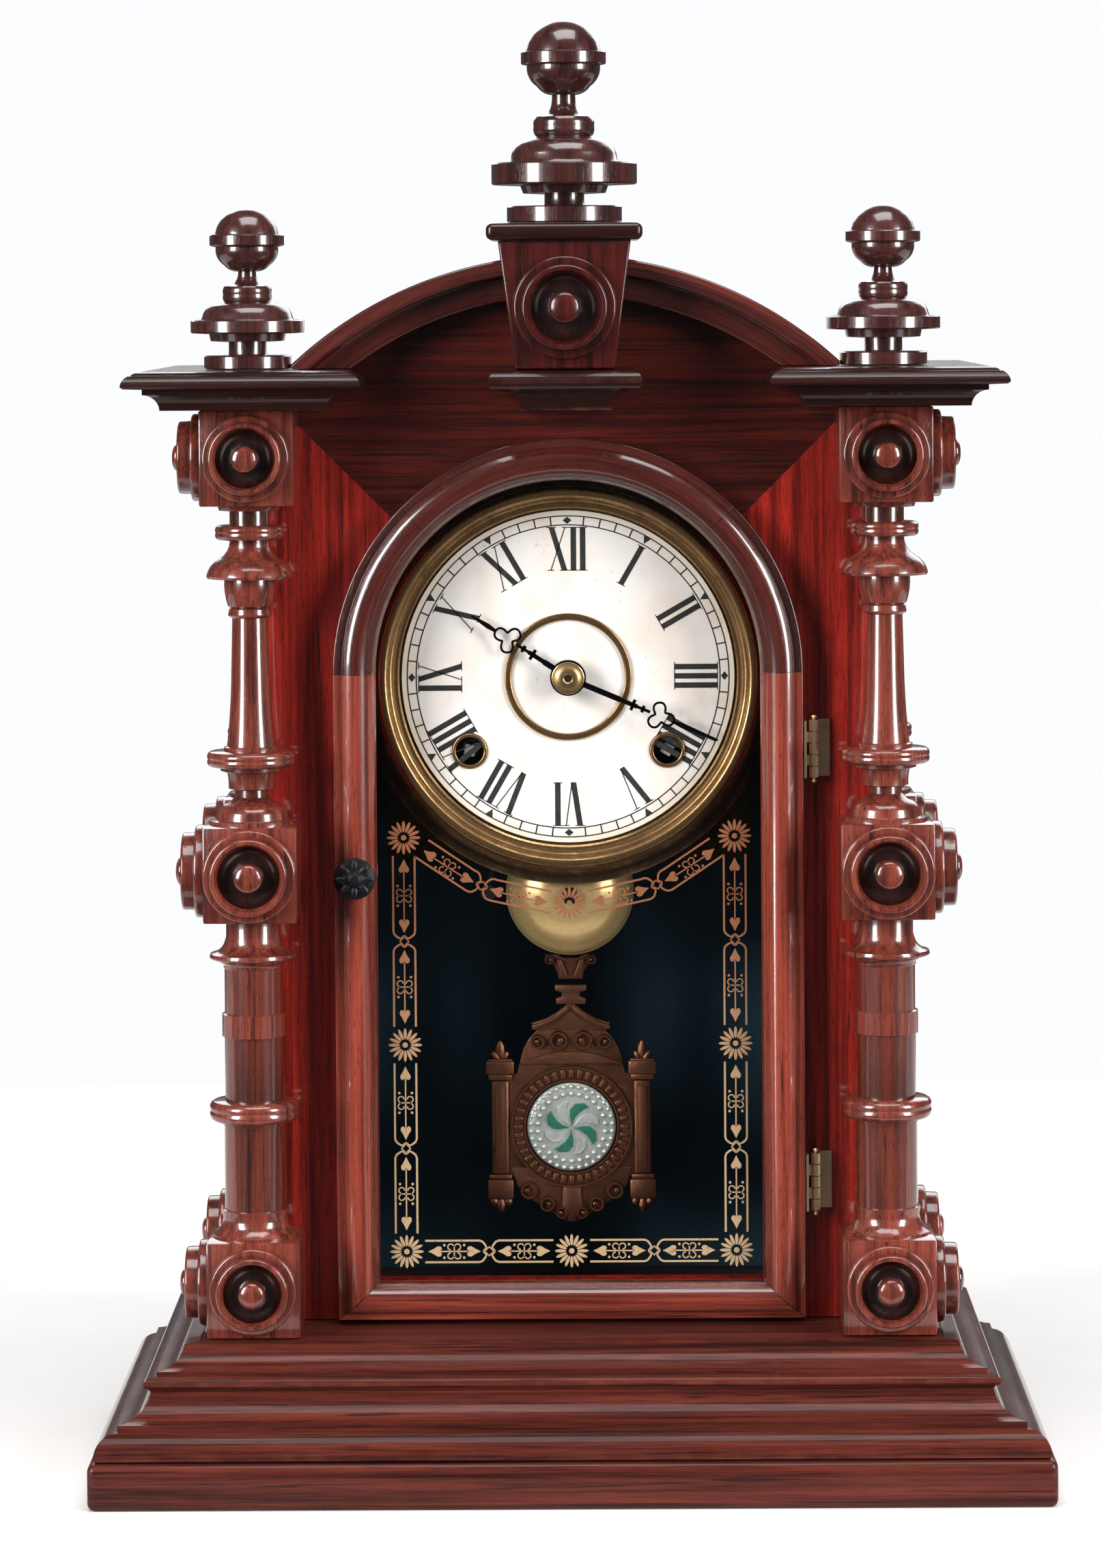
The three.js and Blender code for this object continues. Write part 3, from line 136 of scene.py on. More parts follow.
# %% Channel and Finish
class Channel:
    """One number or colour that runs through a finish."""

    def __init__(self, finish, socket):
        self.finish = finish
        self.socket = socket

    def _sum(self, operation, first, second=None):
        inputs = {0: first} if second is None else {0: first, 1: second}
        return self.finish.node("ShaderNodeMath", {"operation": operation}, inputs)

    def __add__(self, other):
        return self._sum("ADD", self, other)

    def __radd__(self, other):
        return self._sum("ADD", other, self)

    def __sub__(self, other):
        return self._sum("SUBTRACT", self, other)

    def __rsub__(self, other):
        return self._sum("SUBTRACT", other, self)

    def __mul__(self, other):
        return self._sum("MULTIPLY", self, other)

    def __rmul__(self, other):
        return self._sum("MULTIPLY", other, self)

    def __pow__(self, other):
        return self._sum("POWER", self, other)

    def size(self):
        return self._sum("ABSOLUTE", self)

    def between(self, low, high):
        """0 below low, 1 above high, and a smooth rise between them."""
        settings = {"interpolation_type": "SMOOTHSTEP", "clamp": True}
        return self.finish.node("ShaderNodeMapRange", settings, {"Value": self, 1: low, 2: high})


class Finish:
    """A material, and the one method that makes its nodes."""

    def __init__(self, name):
        self.material = bpy.data.materials.new(name)
        self.material.use_nodes = True
        self.tree = self.material.node_tree
        self.tree.nodes.clear()

    def node(self, kind, settings=None, inputs=None, output=0):
        made = self.tree.nodes.new(kind)
        for key, value in (settings or {}).items():
            if key == "stops":
                self._stops(made.color_ramp, value)
            else:
                setattr(made, key, value)
        for key, value in (inputs or {}).items():
            if isinstance(value, Channel):
                self.tree.links.new(value.socket, made.inputs[key])
            else:
                made.inputs[key].default_value = value
        return Channel(self, made.outputs[output]) if made.outputs else None

    def _stops(self, ramp, stops):
        while len(ramp.elements) < len(stops):
            ramp.elements.new(1.0)
        for element, (place, colour) in zip(ramp.elements, stops):
            element.position = place
            element.color = (*colour, 1)

    def place(self):
        """Where a point of the piece is, in millimetres."""
        where = self.node("ShaderNodeTexCoord", output=3)
        return self.node("ShaderNodeVectorMath", {"operation": "SCALE"}, {0: where, "Scale": 1 / MM})

    def stretch(self, vector, scale, shift=(0, 0, 0)):
        inputs = {"Vector": vector, "Scale": scale, "Location": shift}
        return self.node("ShaderNodeMapping", {"vector_type": "POINT"}, inputs)

    def noise(self, vector, scale=1.0, detail=3.0, rough=0.55, wobble=0.0):
        inputs = {"Vector": vector, "Scale": scale, "Detail": detail, "Roughness": rough, "Distortion": wobble}
        return self.node("ShaderNodeTexNoise", {}, inputs)

    def mix(self, under, over, share):
        """Lays one colour over another."""
        inputs = {0: share, 6: self._colour(under), 7: self._colour(over)}
        return self.node("ShaderNodeMix", {"data_type": "RGBA"}, inputs, output=2)

    def _colour(self, value):
        return value if isinstance(value, Channel) else (*value, 1)

    def bump(self, height, depth, strength=1.0):
        """A surface that stands up by depth millimetres where height is 1."""
        return self.node("ShaderNodeBump", {}, {"Height": height, "Distance": depth * MM, "Strength": strength})

    def surface(self, **inputs):
        """The last step: one Principled shader, with sockets named by their words."""
        named = {key.replace("_", " ").title().replace("Ior", "IOR"): value for key, value in inputs.items()}
        for key in ("Base Color", "Coat Tint"):
            if key in named and not isinstance(named[key], Channel):
                named[key] = (*named[key], 1)
        shader = self.node("ShaderNodeBsdfPrincipled", {}, named)
        self.node("ShaderNodeOutputMaterial", {}, {"Surface": shader})
        return self.material


# %% [markdown]
# ## Rosewood under French polish
# Rosewood is a red-brown wood with near-black streaks that follow the growth rings, and with long open
# pores. It is laid as veneer, so each board has its own direction of grain. The colour could be a wave
# texture, but waves repeat. Noise that is stretched thirty times along the grain does not, and the same
# stretched field moves the streaks, the fibres and the pores together. Shellac gives a glossy coat that
# is thin and a little uneven, and rubs paler on edges. Corners and hollows get a painted shade.

# %% Rosewood
GRAIN_LENGTH = 45.0
GRAIN_SCALE = {
    "x": (1 / GRAIN_LENGTH, 1, 1),
    "y": (1, 1 / GRAIN_LENGTH, 1),
    "z": (1, 1, 1 / GRAIN_LENGTH),
}


def bent_round(finish, where, centre):
    """Turns a place into radius, depth and length along an arc, so that grain follows a round head."""
    parts = [finish.node("ShaderNodeSeparateXYZ", {}, {0: where}, output=i) for i in range(3)]
    across = parts[0] - centre.x
    up = parts[2] - centre.z
    radius = (across * across + up * up) ** 0.5
    angle = finish.node("ShaderNodeMath", {"operation": "ARCTAN2"}, {0: across, 1: up})
    return finish.node("ShaderNodeCombineXYZ", {}, {0: radius, 1: parts[1], 2: angle * 70.0})


def rosewood(name, grain, light, dark, seed, streaks=0.5, arc_centre=None, shine=1.0):
    """A rosewood finish. grain is the axis it runs along, or arc round a centre."""
    wood = Finish(name)
    where = wood.place()
    if grain == "arc":
        where = bent_round(wood, where, arc_centre)
        grain = "z"
    along = wood.stretch(where, GRAIN_SCALE[grain], (seed * 13.7, seed * 7.1, seed * 3.3))
    broad = wood.noise(along, 0.06, 2, 0.5, 0.3)
    figure = wood.noise(along, 0.34, 4, 0.68, 0.25)
    fibre = wood.noise(along, 2.2, 3, 0.7)
    streak = wood.noise(along, 0.75, 3, 0.72, 0.2)
    pores = wood.noise(wood.stretch(along, (1, 1, 2.5), (5.3, 1.7, 9.1)), 4.5, 1, 0.4)
    shade = figure * 0.85 + broad * 0.25 + fibre * 0.22 - 0.2
    colour = wood.mix(dark, light, shade.between(0.24, 0.68))
    black = streak.between(0.66 - 0.16 * streaks, 0.74 - 0.12 * streaks)
    colour = wood.mix(colour, (0.010, 0.0035, 0.003), black * 0.85)
    colour = wood.mix(colour, (0.005, 0.002, 0.002), pores.between(0.60, 0.70) * 0.6)
    edge = wood.node("ShaderNodeNewGeometry", output=7)
    worn = edge.between(0.60, 0.72) * wood.noise(where, 0.12, 2).between(0.4, 0.65)
    colour = wood.mix(colour, (0.24, 0.075, 0.042), worn * 0.3)
    # Painted shade: the colour goes near-black where the surface is hollow, in corners and grooves.
    colour = wood.mix(colour, (0.006, 0.003, 0.0025), (1 - edge.between(0.40, 0.49)) * 0.85)
    handled = wood.noise(where, 0.035, 3, 0.6)
    scuffs = wood.noise(wood.stretch(where, (1, 1, 0.25), (2, 8, 4)), 1.1, 4, 0.8).between(0.58, 0.75)
    roughness = 0.24 - shine * 0.08 + handled * 0.14 + scuffs * 0.10 + black * 0.04
    height = fibre * 0.5 + (1 - pores.between(0.60, 0.72)) * 0.6 + wood.noise(where, 0.25, 2) * 0.5
    return wood.surface(
        base_color=colour,
        roughness=roughness,
        normal=wood.bump(height, 0.05, 0.35),
        specular_ior_level=0.38 * shine,
        coat_weight=0.6 * shine,
        coat_roughness=0.06,
    )


RED_LIGHT, RED_DARK = (0.215, 0.037, 0.021), (0.045, 0.0065, 0.0045)
BROWN_LIGHT, BROWN_DARK = (0.085, 0.017, 0.011), (0.015, 0.0032, 0.0025)
PANEL_LIGHT, PANEL_DARK = (0.34, 0.019, 0.011), (0.060, 0.004, 0.003)
DOOR_ARCH = Vector((0, 0, DIAL.z + 2.8))
panel_wood = rosewood("rosewood_panel", "z", PANEL_LIGHT, PANEL_DARK, 1.0, 0.4, None, 0.7)
head_wood = rosewood("rosewood_head", "x", (0.085, 0.010, 0.0065), (0.014, 0.002, 0.0018), 1.6, 0.8, None, 0.6)
side_wood = rosewood("rosewood_side", "z", (0.2, 0.026, 0.016), PANEL_DARK, 2.0, 0.6)
door_wood = rosewood("rosewood_door_stile", "z", RED_LIGHT, RED_DARK, 3.0, 0.25)
door_rail_wood = rosewood("rosewood_door_rail", "x", RED_LIGHT, RED_DARK, 4.0, 0.25)
door_arch_wood = rosewood("rosewood_door_arch", "arc", (0.072, 0.0125, 0.009), (0.014, 0.0028, 0.0024), 5.0, 0.5, DOOR_ARCH)
column_wood = rosewood("rosewood_column", "z", (0.175, 0.036, 0.022), (0.034, 0.0065, 0.005), 6.0, 0.5)
base_wood = rosewood("rosewood_base", "x", BROWN_LIGHT, BROWN_DARK, 7.0, 0.7, None, 0.2)
base_side_wood = rosewood("rosewood_base_side", "y", BROWN_LIGHT, BROWN_DARK, 8.0, 0.7)
roof_wood = rosewood("rosewood_roof", "y", BROWN_LIGHT, BROWN_DARK, 9.0, 0.6)
dark_wood = rosewood("rosewood_cornice", "x", (0.020, 0.0052, 0.0042), (0.006, 0.0022, 0.002), 10.0, 0.7, None, 0.45)
finial_wood = rosewood("rosewood_finial", "z", (0.050, 0.0135, 0.0115), (0.011, 0.0038, 0.0034), 11.0, 0.5)
print("rosewood finishes:", sum(m.name.startswith("rosewood") for m in bpy.data.materials))

# %% [markdown]
# ## Plain pine
# The case is closed by pine boards that were never polished. Pine has a pale ground with soft brown
# rings and small knots. Where the boards face the inside of the case they take a near-black teal colour,
# a painted shade for the dark inside behind the glass. One material tells the two apart by depth: the
# outer skin of the back board is bare pine, and what faces the room inside carries the painted shade.

# %% Pine, inside and out
def pine(name, grain, shaded_where):
    """Bare pine, and a near-black teal painted shade where `shaded_where` gives 1. It is a function of the place in
    millimetres.
    """
    wood = Finish(name)
    where = wood.place()
    along = wood.stretch(where, GRAIN_SCALE[grain])
    rings = wood.noise(along, 0.16, 3, 0.5, 2.2)
    fibre = wood.noise(along, 1.3, 3, 0.6)
    tone = (rings * 0.7 + fibre * 0.4 - 0.1).between(0.25, 0.75)
    bare = wood.mix((0.135, 0.062, 0.026), (0.33, 0.185, 0.085), tone)
    dust = wood.noise(where, 0.06, 4, 0.7).between(0.4, 0.8)
    bare = wood.mix(bare, (0.11, 0.075, 0.05), dust * 0.5)
    # Painted shade: a near-black teal colour stands in for the dark inside of the case.
    shade_colour = wood.mix((0.0008, 0.022, 0.042), (0.0025, 0.036, 0.064), fibre)
    inside = shaded_where(wood, where)
    colour = wood.mix(bare, shade_colour, inside)
    return wood.surface(
        base_color=colour,
        roughness=0.82 - inside * 0.1 + fibre * 0.1,
        normal=wood.bump(fibre * (1 - inside), 0.1, 0.5),
    )


def axis_of(finish, where, axis):
    return finish.node("ShaderNodeSeparateXYZ", {}, {0: where}, output="XYZ".index(axis))


BACK_SKIN = span("back_panel")[1].y - 0.5
back_pine = pine("pine_back", "x", lambda f, where: 1 - axis_of(f, where, "Y").between(BACK_SKIN - 0.2, BACK_SKIN))
# This material is painted shade all over, for the faces inside the case.
inner_painted_shade = pine("pine_painted_shade", "z", lambda f, where: axis_of(f, where, "Z") * 0.0 + 1.0)


def floor_finish():
    """The floor board is veneered on top, where it shows round the columns, and bare pine below."""
    top = span("case_floor")[1].z - 0.5
    wood = Finish("floor_board")
    where = wood.place()
    along = wood.stretch(where, GRAIN_SCALE["x"])
    figure = wood.noise(along, 0.13, 4, 0.62, 1.2)
    fibre = wood.noise(along, 1.6, 3, 0.65)
    veneer = wood.mix(BROWN_DARK, BROWN_LIGHT, (figure * 0.8 + fibre * 0.2).between(0.3, 0.75))
    bare = wood.mix((0.135, 0.062, 0.026), (0.30, 0.165, 0.075), figure.between(0.3, 0.7))
    above = axis_of(wood, where, "Z").between(top, top + 0.2)
    return wood.surface(
        base_color=wood.mix(bare, veneer, above),
        roughness=0.8 - above * 0.5,
        normal=wood.bump(fibre, 0.06, 0.4),
    )


floor_wood = floor_finish()
print("pine finishes made")

# %% [markdown]
# ## Metals
# Old lacquered brass is gold only where hands and cloths reach it. The rest has gone brown, in clouds
# and in the corners of mouldings, and it is duller there. The same recipe serves all the brass, with
# how tarnished it is as its one dial. Cast pieces are rougher, with a grainy skin.

# %% Brass, bronze, steel and iron
def metal(name, bright, tarnish, wear, gloss, grain=0.0, scratch_axis=None, metallic=1.0):
    """A metal with tarnish in clouds and corners. wear is how much of it is tarnished."""
    skin = Finish(name)
    where = skin.place()
    clouds = skin.noise(where, 0.09, 5, 0.65, 0.4)
    specks = skin.noise(where, 0.9, 3, 0.7)
    edge = skin.node("ShaderNodeNewGeometry", output=7)
    polished = edge.between(0.5, 0.6)
    amount = (clouds * 0.9 + specks * 0.35 + (wear - 0.5) - polished * 0.35).between(0.35, 0.85)
    colour = skin.mix(bright, tarnish, amount)
    colour = skin.mix(colour, tuple(c * 0.22 for c in tarnish), (1 - edge.between(0.42, 0.49)) * 0.7)
    if scratch_axis:
        scale = {"x": (0.05, 2, 2), "z": (2, 2, 0.05), "round": (1, 0.05, 1)}[scratch_axis]
        brushed = skin.noise(skin.stretch(where, scale), 1.6, 2, 0.7)
    else:
        brushed = skin.noise(where, 2.2, 3, 0.7)
    return skin.surface(
        base_color=colour,
        metallic=metallic,
        roughness=gloss + amount * 0.22 + brushed * 0.08,
        normal=skin.bump(brushed * (0.3 + grain) + specks * grain, 0.05 + 0.12 * grain, 0.3 + grain),
    )


GOLD, GOLD_DULL = (0.62, 0.40, 0.17), (0.17, 0.092, 0.040)
old_brass = metal("brass_aged", (0.44, 0.26, 0.115), (0.15, 0.08, 0.037), 0.5, 0.2, 0.1)
pan_brass = metal("brass_pan", (0.24, 0.15, 0.075), (0.075, 0.045, 0.025), 0.65, 0.3, 0.1)
bell_brass = metal("brass_bell", (0.62, 0.43, 0.19), (0.34, 0.21, 0.09), 0.2, 0.24, 0.0, None, 0.55)
movement_brass = metal("brass_movement", (0.060, 0.045, 0.026), (0.016, 0.014, 0.010), 0.5, 0.4, 0.0, "z")
hinge_brass = metal("brass_hinge", (0.60, 0.42, 0.27), (0.24, 0.15, 0.10), 0.5, 0.3, 0.15)
nut_brass = metal("brass_nut", (0.50, 0.34, 0.17), (0.20, 0.12, 0.06), 0.5, 0.25, 0.0)
bronze = metal("bronze_cast", (0.17, 0.070, 0.040), (0.035, 0.016, 0.011), 0.5, 0.36, 0.6)
steel = metal("steel_arbor", (0.60, 0.61, 0.63), (0.25, 0.23, 0.21), 0.35, 0.34, 0.0, "z", 0.6)
spring_steel = metal("steel_spring", (0.07, 0.075, 0.09), (0.025, 0.023, 0.023), 0.45, 0.34, 0.0, "z")
black_iron = metal("iron_black", (0.022, 0.024, 0.028), (0.012, 0.010, 0.009), 0.5, 0.36, 0.45)
hand_black = metal("iron_hands", (0.010, 0.010, 0.012), (0.005, 0.005, 0.006), 0.4, 0.32, 0.1)
silvered = metal("glass_silver", (0.50, 0.52, 0.50), (0.20, 0.20, 0.19), 0.4, 0.2, 0.1, None, 0.45)
print("metals made")

# %% [markdown]
# ## Paper and glass
# The dial is a sheet of paper pasted on brass. It has yellowed, more so near its rim, and damp has left
# rust-brown spots. The door's glass has to let lamps through to the dial, so it is a clear shader mixed
# with a mirror by Fresnel, with a faint film of dust. A true glass shader would bend the light better
# but would leave the room behind the pane in the dark.

# %% Paper and glass
def dial_paper_finish():
    paper = Finish("paper_dial")
    where = paper.place()
    parts = [axis_of(paper, where, axis) for axis in "XZ"]
    across, up = parts[0] - DIAL.x, parts[1] - DIAL.z
    radius = (across * across + up * up) ** 0.5
    clouds = paper.noise(where, 0.045, 4, 0.6)
    fibres = paper.noise(where, 3.5, 3, 0.7)
    spots = paper.noise(where, 0.55, 2, 0.6).between(0.68, 0.76) * paper.noise(where, 0.06, 2).between(0.45, 0.6)
    colour = paper.mix((0.73, 0.68, 0.665), (0.68, 0.58, 0.53), clouds.between(0.42, 0.72))
    colour = paper.mix(colour, (0.55, 0.45, 0.34), (radius + clouds * 9).between(53, 62) * 0.7)
    colour = paper.mix(colour, (0.34, 0.21, 0.11), spots * 0.55)
    colour = paper.mix(colour, (0.40, 0.31, 0.22), (1 - (radius + clouds * 4).between(5, 9)) * 0.5)
    return paper.surface(base_color=colour, roughness=0.62 + fibres * 0.2, normal=paper.bump(fibres, 0.03, 0.4))


def pane_finish():
    pane = Finish("glass_pane")
    where = pane.place()
    film = pane.noise(where, 0.05, 4, 0.6).between(0.45, 0.8)
    mirror = pane.node("ShaderNodeFresnel", {}, {"IOR": 1.5})
    clear = pane.node("ShaderNodeBsdfTransparent", {}, {"Color": (0.975, 0.985, 0.98, 1)})
    shine = pane.node(
        "ShaderNodeBsdfPrincipled",
        {},
        {"Base Color": (0.86, 0.90, 0.90, 1), "Metallic": 1.0, "Roughness": film * 0.05 + 0.02},
    )
    share = mirror * 0.2 + film * 0.002
    mixed = pane.node("ShaderNodeMixShader", {}, {0: share, 1: clear, 2: shine})
    pane.node("ShaderNodeOutputMaterial", {}, {"Surface": mixed})
    return pane.material


def gilt_finish():
    """Gold leaf on the back of the glass: coppery at the head of the door and paler at its foot."""
    leaf = Finish("gilt_leaf")
    where = leaf.place()
    height = axis_of(leaf, where, "Z")
    rubbed = leaf.noise(where, 0.5, 4, 0.75)
    tone = leaf.mix((0.62, 0.42, 0.25), (0.36, 0.13, 0.065), height.between(90, 200))
    colour = leaf.mix(tone, (0.10, 0.055, 0.03), rubbed.between(0.55, 0.75) * 0.7)
    return leaf.surface(base_color=colour, metallic=0.55, roughness=0.34 + rubbed * 0.2, normal=leaf.bump(rubbed, 0.02, 0.4))


def ink_finish():
    ink = Finish("ink_dial")
    where = ink.place()
    fade = ink.noise(where, 0.7, 3, 0.7)
    colour = ink.mix((0.006, 0.006, 0.007), (0.06, 0.055, 0.05), fade.between(0.5, 0.8) * 0.5)
    return ink.surface(base_color=colour, roughness=0.5 + fade * 0.2, normal=ink.bump(fade, 0.01, 0.3))


def green_glass_finish():
    green = Finish("glass_green")
    where = green.place()
    streak = green.noise(where, 0.6, 3, 0.6)
    colour = green.mix((0.010, 0.075, 0.055), (0.03, 0.16, 0.11), streak)
    return green.surface(base_color=colour, roughness=0.12 + streak * 0.1, normal=green.bump(streak, 0.03, 0.4))


paper = dial_paper_finish()
pane_glass = pane_finish()
gilt = gilt_finish()
ink = ink_finish()
green_glass = green_glass_finish()
print("paper, glass, gilt and ink made")

# %% [markdown]
# ## Tools for the bench
# Most of this clock was turned or run as a moulding, so two tools do most of the work. A turned piece is
# a profile spun round an axis. A flat piece is an outline that is extruded. Both read a short list of
# points in which a third number bends the line that leads to the point: a share of its length, out when
# it is positive and hollow when it is negative. That keeps a profile as short as a turner's template.

# %% Profiles
def bent(points, steps=6):
    """Points on a profile: [a, b] or [a, b, bend] for an arc that leads to the point."""
    line = [Vector(points[0][:2])]
    for a, b, *bend in points[1:]:
        start, end = line[-1].copy(), Vector((a, b))
        chord = end - start
        sagitta = (bend[0] if bend else 0) * chord.length
        if abs(sagitta) < 1e-6:
            line.append(end)
            continue
        side = Vector((chord.y, -chord.x)).normalized()
        radius = (chord.length_squared / 4 + sagitta**2) / (2 * sagitta)
        centre = (start + end) / 2 + side * (sagitta - radius)
        sweep = 2 * math.asin(max(-1, min(1, chord.length / (2 * radius))))
        for i in range(1, steps):
            turn = Matrix.Rotation(sweep * i / steps, 2)
            line.append(centre + turn @ (start - centre))
        line.append(end)
    return line


def thread(bm, points):
    """Joins 3-D points with edges and returns the vertices."""
    made = [bm.verts.new(point) for point in points]
    for a, b in zip(made, made[1:]):
        bm.edges.new((a, b))
    return made


TO_FRONT = Matrix.Rotation(math.radians(90), 4, "X")
TO_RIGHT = Matrix.Rotation(math.radians(90), 4, "Y")
TO_LEFT = Matrix.Rotation(math.radians(-90), 4, "Y")


def turn(bm, profile, place=(0, 0, 0), facing=Matrix(), sides=48, steps=5, closed=False):
    """Spins a profile of [radius, height] round Z, then faces it another way and puts it in place."""
    points = [Vector((p.x, 0, p.y)) for p in bent(profile, steps)]
    made = thread(bm, points)
    if closed:
        bm.edges.new((made[-1], made[0]))
    edges = {edge for vert in made for edge in vert.link_edges}
    bmesh.ops.spin(
        bm,
        geom=list(edges) + made,
        axis=(0, 0, 1),
        cent=(0, 0, 0),
        angle=math.tau,
        steps=sides,
        use_merge=True,
        use_duplicate=False,
    )
    fresh = gather(bm, made)
    bmesh.ops.remove_doubles(bm, verts=fresh, dist=1e-4)
    fresh = gather(bm, [v for v in made if v.is_valid])
    bmesh.ops.recalc_face_normals(bm, faces=list({f for v in fresh for f in v.link_faces}))
    bmesh.ops.transform(bm, matrix=Matrix.Translation(place) @ facing, verts=fresh)
    return fresh


def gather(bm, seeds):
    """Every vertex that hangs together with the seeds."""
    found, rim = set(seeds), list(seeds)
    while rim:
        for edge in rim.pop().link_edges:
            for vert in edge.verts:
                if vert not in found:
                    found.add(vert)
                    rim.append(vert)
    return list(found)


def flat(bm, outline, back, thickness, bevel=0.0, steps=6, segments=2):
    """An outline in the plane of the front, [x, z], from `back` forward by a thickness."""
    points = [Vector((p.x, back, p.y)) for p in bent(outline, steps)]
    if (points[0] - points[-1]).length < 1e-6:
        points.pop()
    face = bm.faces.new([bm.verts.new(point) for point in points])
    grown = bmesh.ops.extrude_face_region(bm, geom=[face])["geom"]
    lifted = [v for v in grown if isinstance(v, bmesh.types.BMVert)]
    bmesh.ops.translate(bm, vec=(0, -thickness, 0), verts=lifted)
    fresh = gather(bm, lifted)
    bmesh.ops.recalc_face_normals(bm, faces=list({f for v in fresh for f in v.link_faces}))
    if bevel:
        rim = {e for v in lifted for e in v.link_edges if all(w in set(lifted) for w in e.verts)}
        soften(bm, list(rim), bevel, segments)
    return gather(bm, [v for v in fresh if v.is_valid])


def soften(bm, edges, width, segments=2):
    """Rounds edges over."""
    bmesh.ops.bevel(
        bm,
        geom=edges,
        offset=width,
        offset_type="OFFSET",
        affect="EDGES",
        segments=segments,
        profile=0.5,
        material=-1,
        clamp_overlap=True,
    )


def block(bm, low, high, width=0.0, segments=3, turned=None):
    """A rectangular block with rounded edges."""
    low, high = Vector(low), Vector(high)
    made = bmesh.ops.create_cube(bm, size=1.0)["verts"]
    bmesh.ops.scale(bm, vec=high - low, verts=made)
    if turned:
        bmesh.ops.transform(bm, matrix=turned, verts=made)
    bmesh.ops.translate(bm, vec=(low + high) / 2, verts=made)
    if width:
        soften(bm, list({e for v in made for e in v.link_edges}), width, segments)


def slice_off(bm, point, normal):
    """Cuts away what lies on the side that the normal points to and closes the cut."""
    everything = list(bm.verts) + list(bm.edges) + list(bm.faces)
    cut = bmesh.ops.bisect_plane(bm, geom=everything, plane_co=point, plane_no=normal, clear_outer=True, dist=1e-5)
    rim = [e for e in cut["geom_cut"] if isinstance(e, bmesh.types.BMEdge)]
    bmesh.ops.holes_fill(bm, edges=rim, sides=0)


def stack(bm, low, high, section):
    """A slab whose edges are moulded: [inset, height] points, from the bottom up."""
    points = bent([(inset, height, *[-b for b in bend]) for inset, height, *bend in section], 6)
    centre = Vector(((low[0] + high[0]) / 2, (low[1] + high[1]) / 2, 0))
    half = Vector(((high[0] - low[0]) / 2, (high[1] - low[1]) / 2, 0))
    made = bmesh.ops.create_grid(bm, x_segments=1, y_segments=1, size=1.0)["verts"]
    face = made[0].link_faces[0]
    verts = list(face.verts)
    for number, point in enumerate(points):
        if number:
            grown = bmesh.ops.extrude_face_region(bm, geom=[face])["geom"]
            face = next(g for g in grown if isinstance(g, bmesh.types.BMFace))
            verts = list(face.verts)
        for vert in verts:
            vert.co.x = centre.x + math.copysign(half.x - point.x, vert.co.x - (centre.x if number else 0))
            vert.co.y = centre.y + math.copysign(half.y - point.x, vert.co.y - (centre.y if number else 0))
            vert.co.z = point.y
    return gather(bm, verts)


# %% [markdown]
# A finished piece is merged, its faces are turned outwards, and its edges are marked sharp only where
# two faces meet at a real corner. It is then brought down to metres, given its finish and hung on its
# body. The object itself stays at the origin, so that grain and clouds stay where they belong.

# %% Finishing a piece
SHARP = math.radians(32)
pieces_made = []


def finish(name, bm, body, slot, materials, replaces=(), merge=True):
    """Turns a bmesh in millimetres into a piece of the clock."""
    if merge:
        bmesh.ops.remove_doubles(bm, verts=bm.verts, dist=0.002)
    bmesh.ops.recalc_face_normals(bm, faces=bm.faces)
    for face in bm.faces:
        face.smooth = True
    for edge in bm.edges:
        edge.smooth = len(edge.link_faces) == 2 and edge.calc_face_angle(0) < SHARP
    bmesh.ops.scale(bm, vec=(MM, MM, MM), verts=bm.verts)
    mesh = bpy.data.meshes.new(name)
    bm.to_mesh(mesh)
    bm.free()
    piece = bpy.data.objects.new(name, mesh)
    bpy.context.scene.collection.objects.link(piece)
    for material in materials if isinstance(materials, (list, tuple)) else [materials]:
        mesh.materials.append(material)
    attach(piece, body)
    if replaces:
        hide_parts(*replaces)
    pieces_made.append(name)
    print(f"{name}: {len(mesh.polygons)} faces")
    return piece


def dress(material, *nodes):
    """Gives plain solids that already have the right shape a finish."""
    for node in nodes:
        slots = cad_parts[node].data.materials
        slots.clear()
        slots.append(material)


# %% [markdown]
# # The case
# ## Base
# The base is a flat plinth with a stack of mouldings on three sides: an ovolo, a big cove, a bead and
# a small cove. The back is flat, to stand against a wall. Each moulding is one long stick, cut at
# 45 degrees where it meets the next, so it is extruded from its section and sliced by a plane.

# %% Base
def plinth():
    low, high = span("base_board")
    bm = bmesh.new()
    block(bm, low, high, 2.4, 4)
    finish("plinth", bm, "case", "rosewood", base_wood, ["base_board"])


def moulding_section():
    """[setback, height] from the plinth's edge in, and from the moulding's foot up."""
    return [
        (34.0, 0), (2.6, 0), (2.0, 0.5), (2.0, 1.4), (9.2, 8.6, 0.21), (9.2, 10.5),
        (19.2, 19.2, -0.19), (18.6, 19.8), (18.6, 20.3), (18.4, 23.4, 0.5), (19.6, 24.0), (21.0, 24.1),
        (21.0, 25.3), (29.4, 31.9, -0.19), (29.6, 32.5), (34.0, 32.5),
    ]


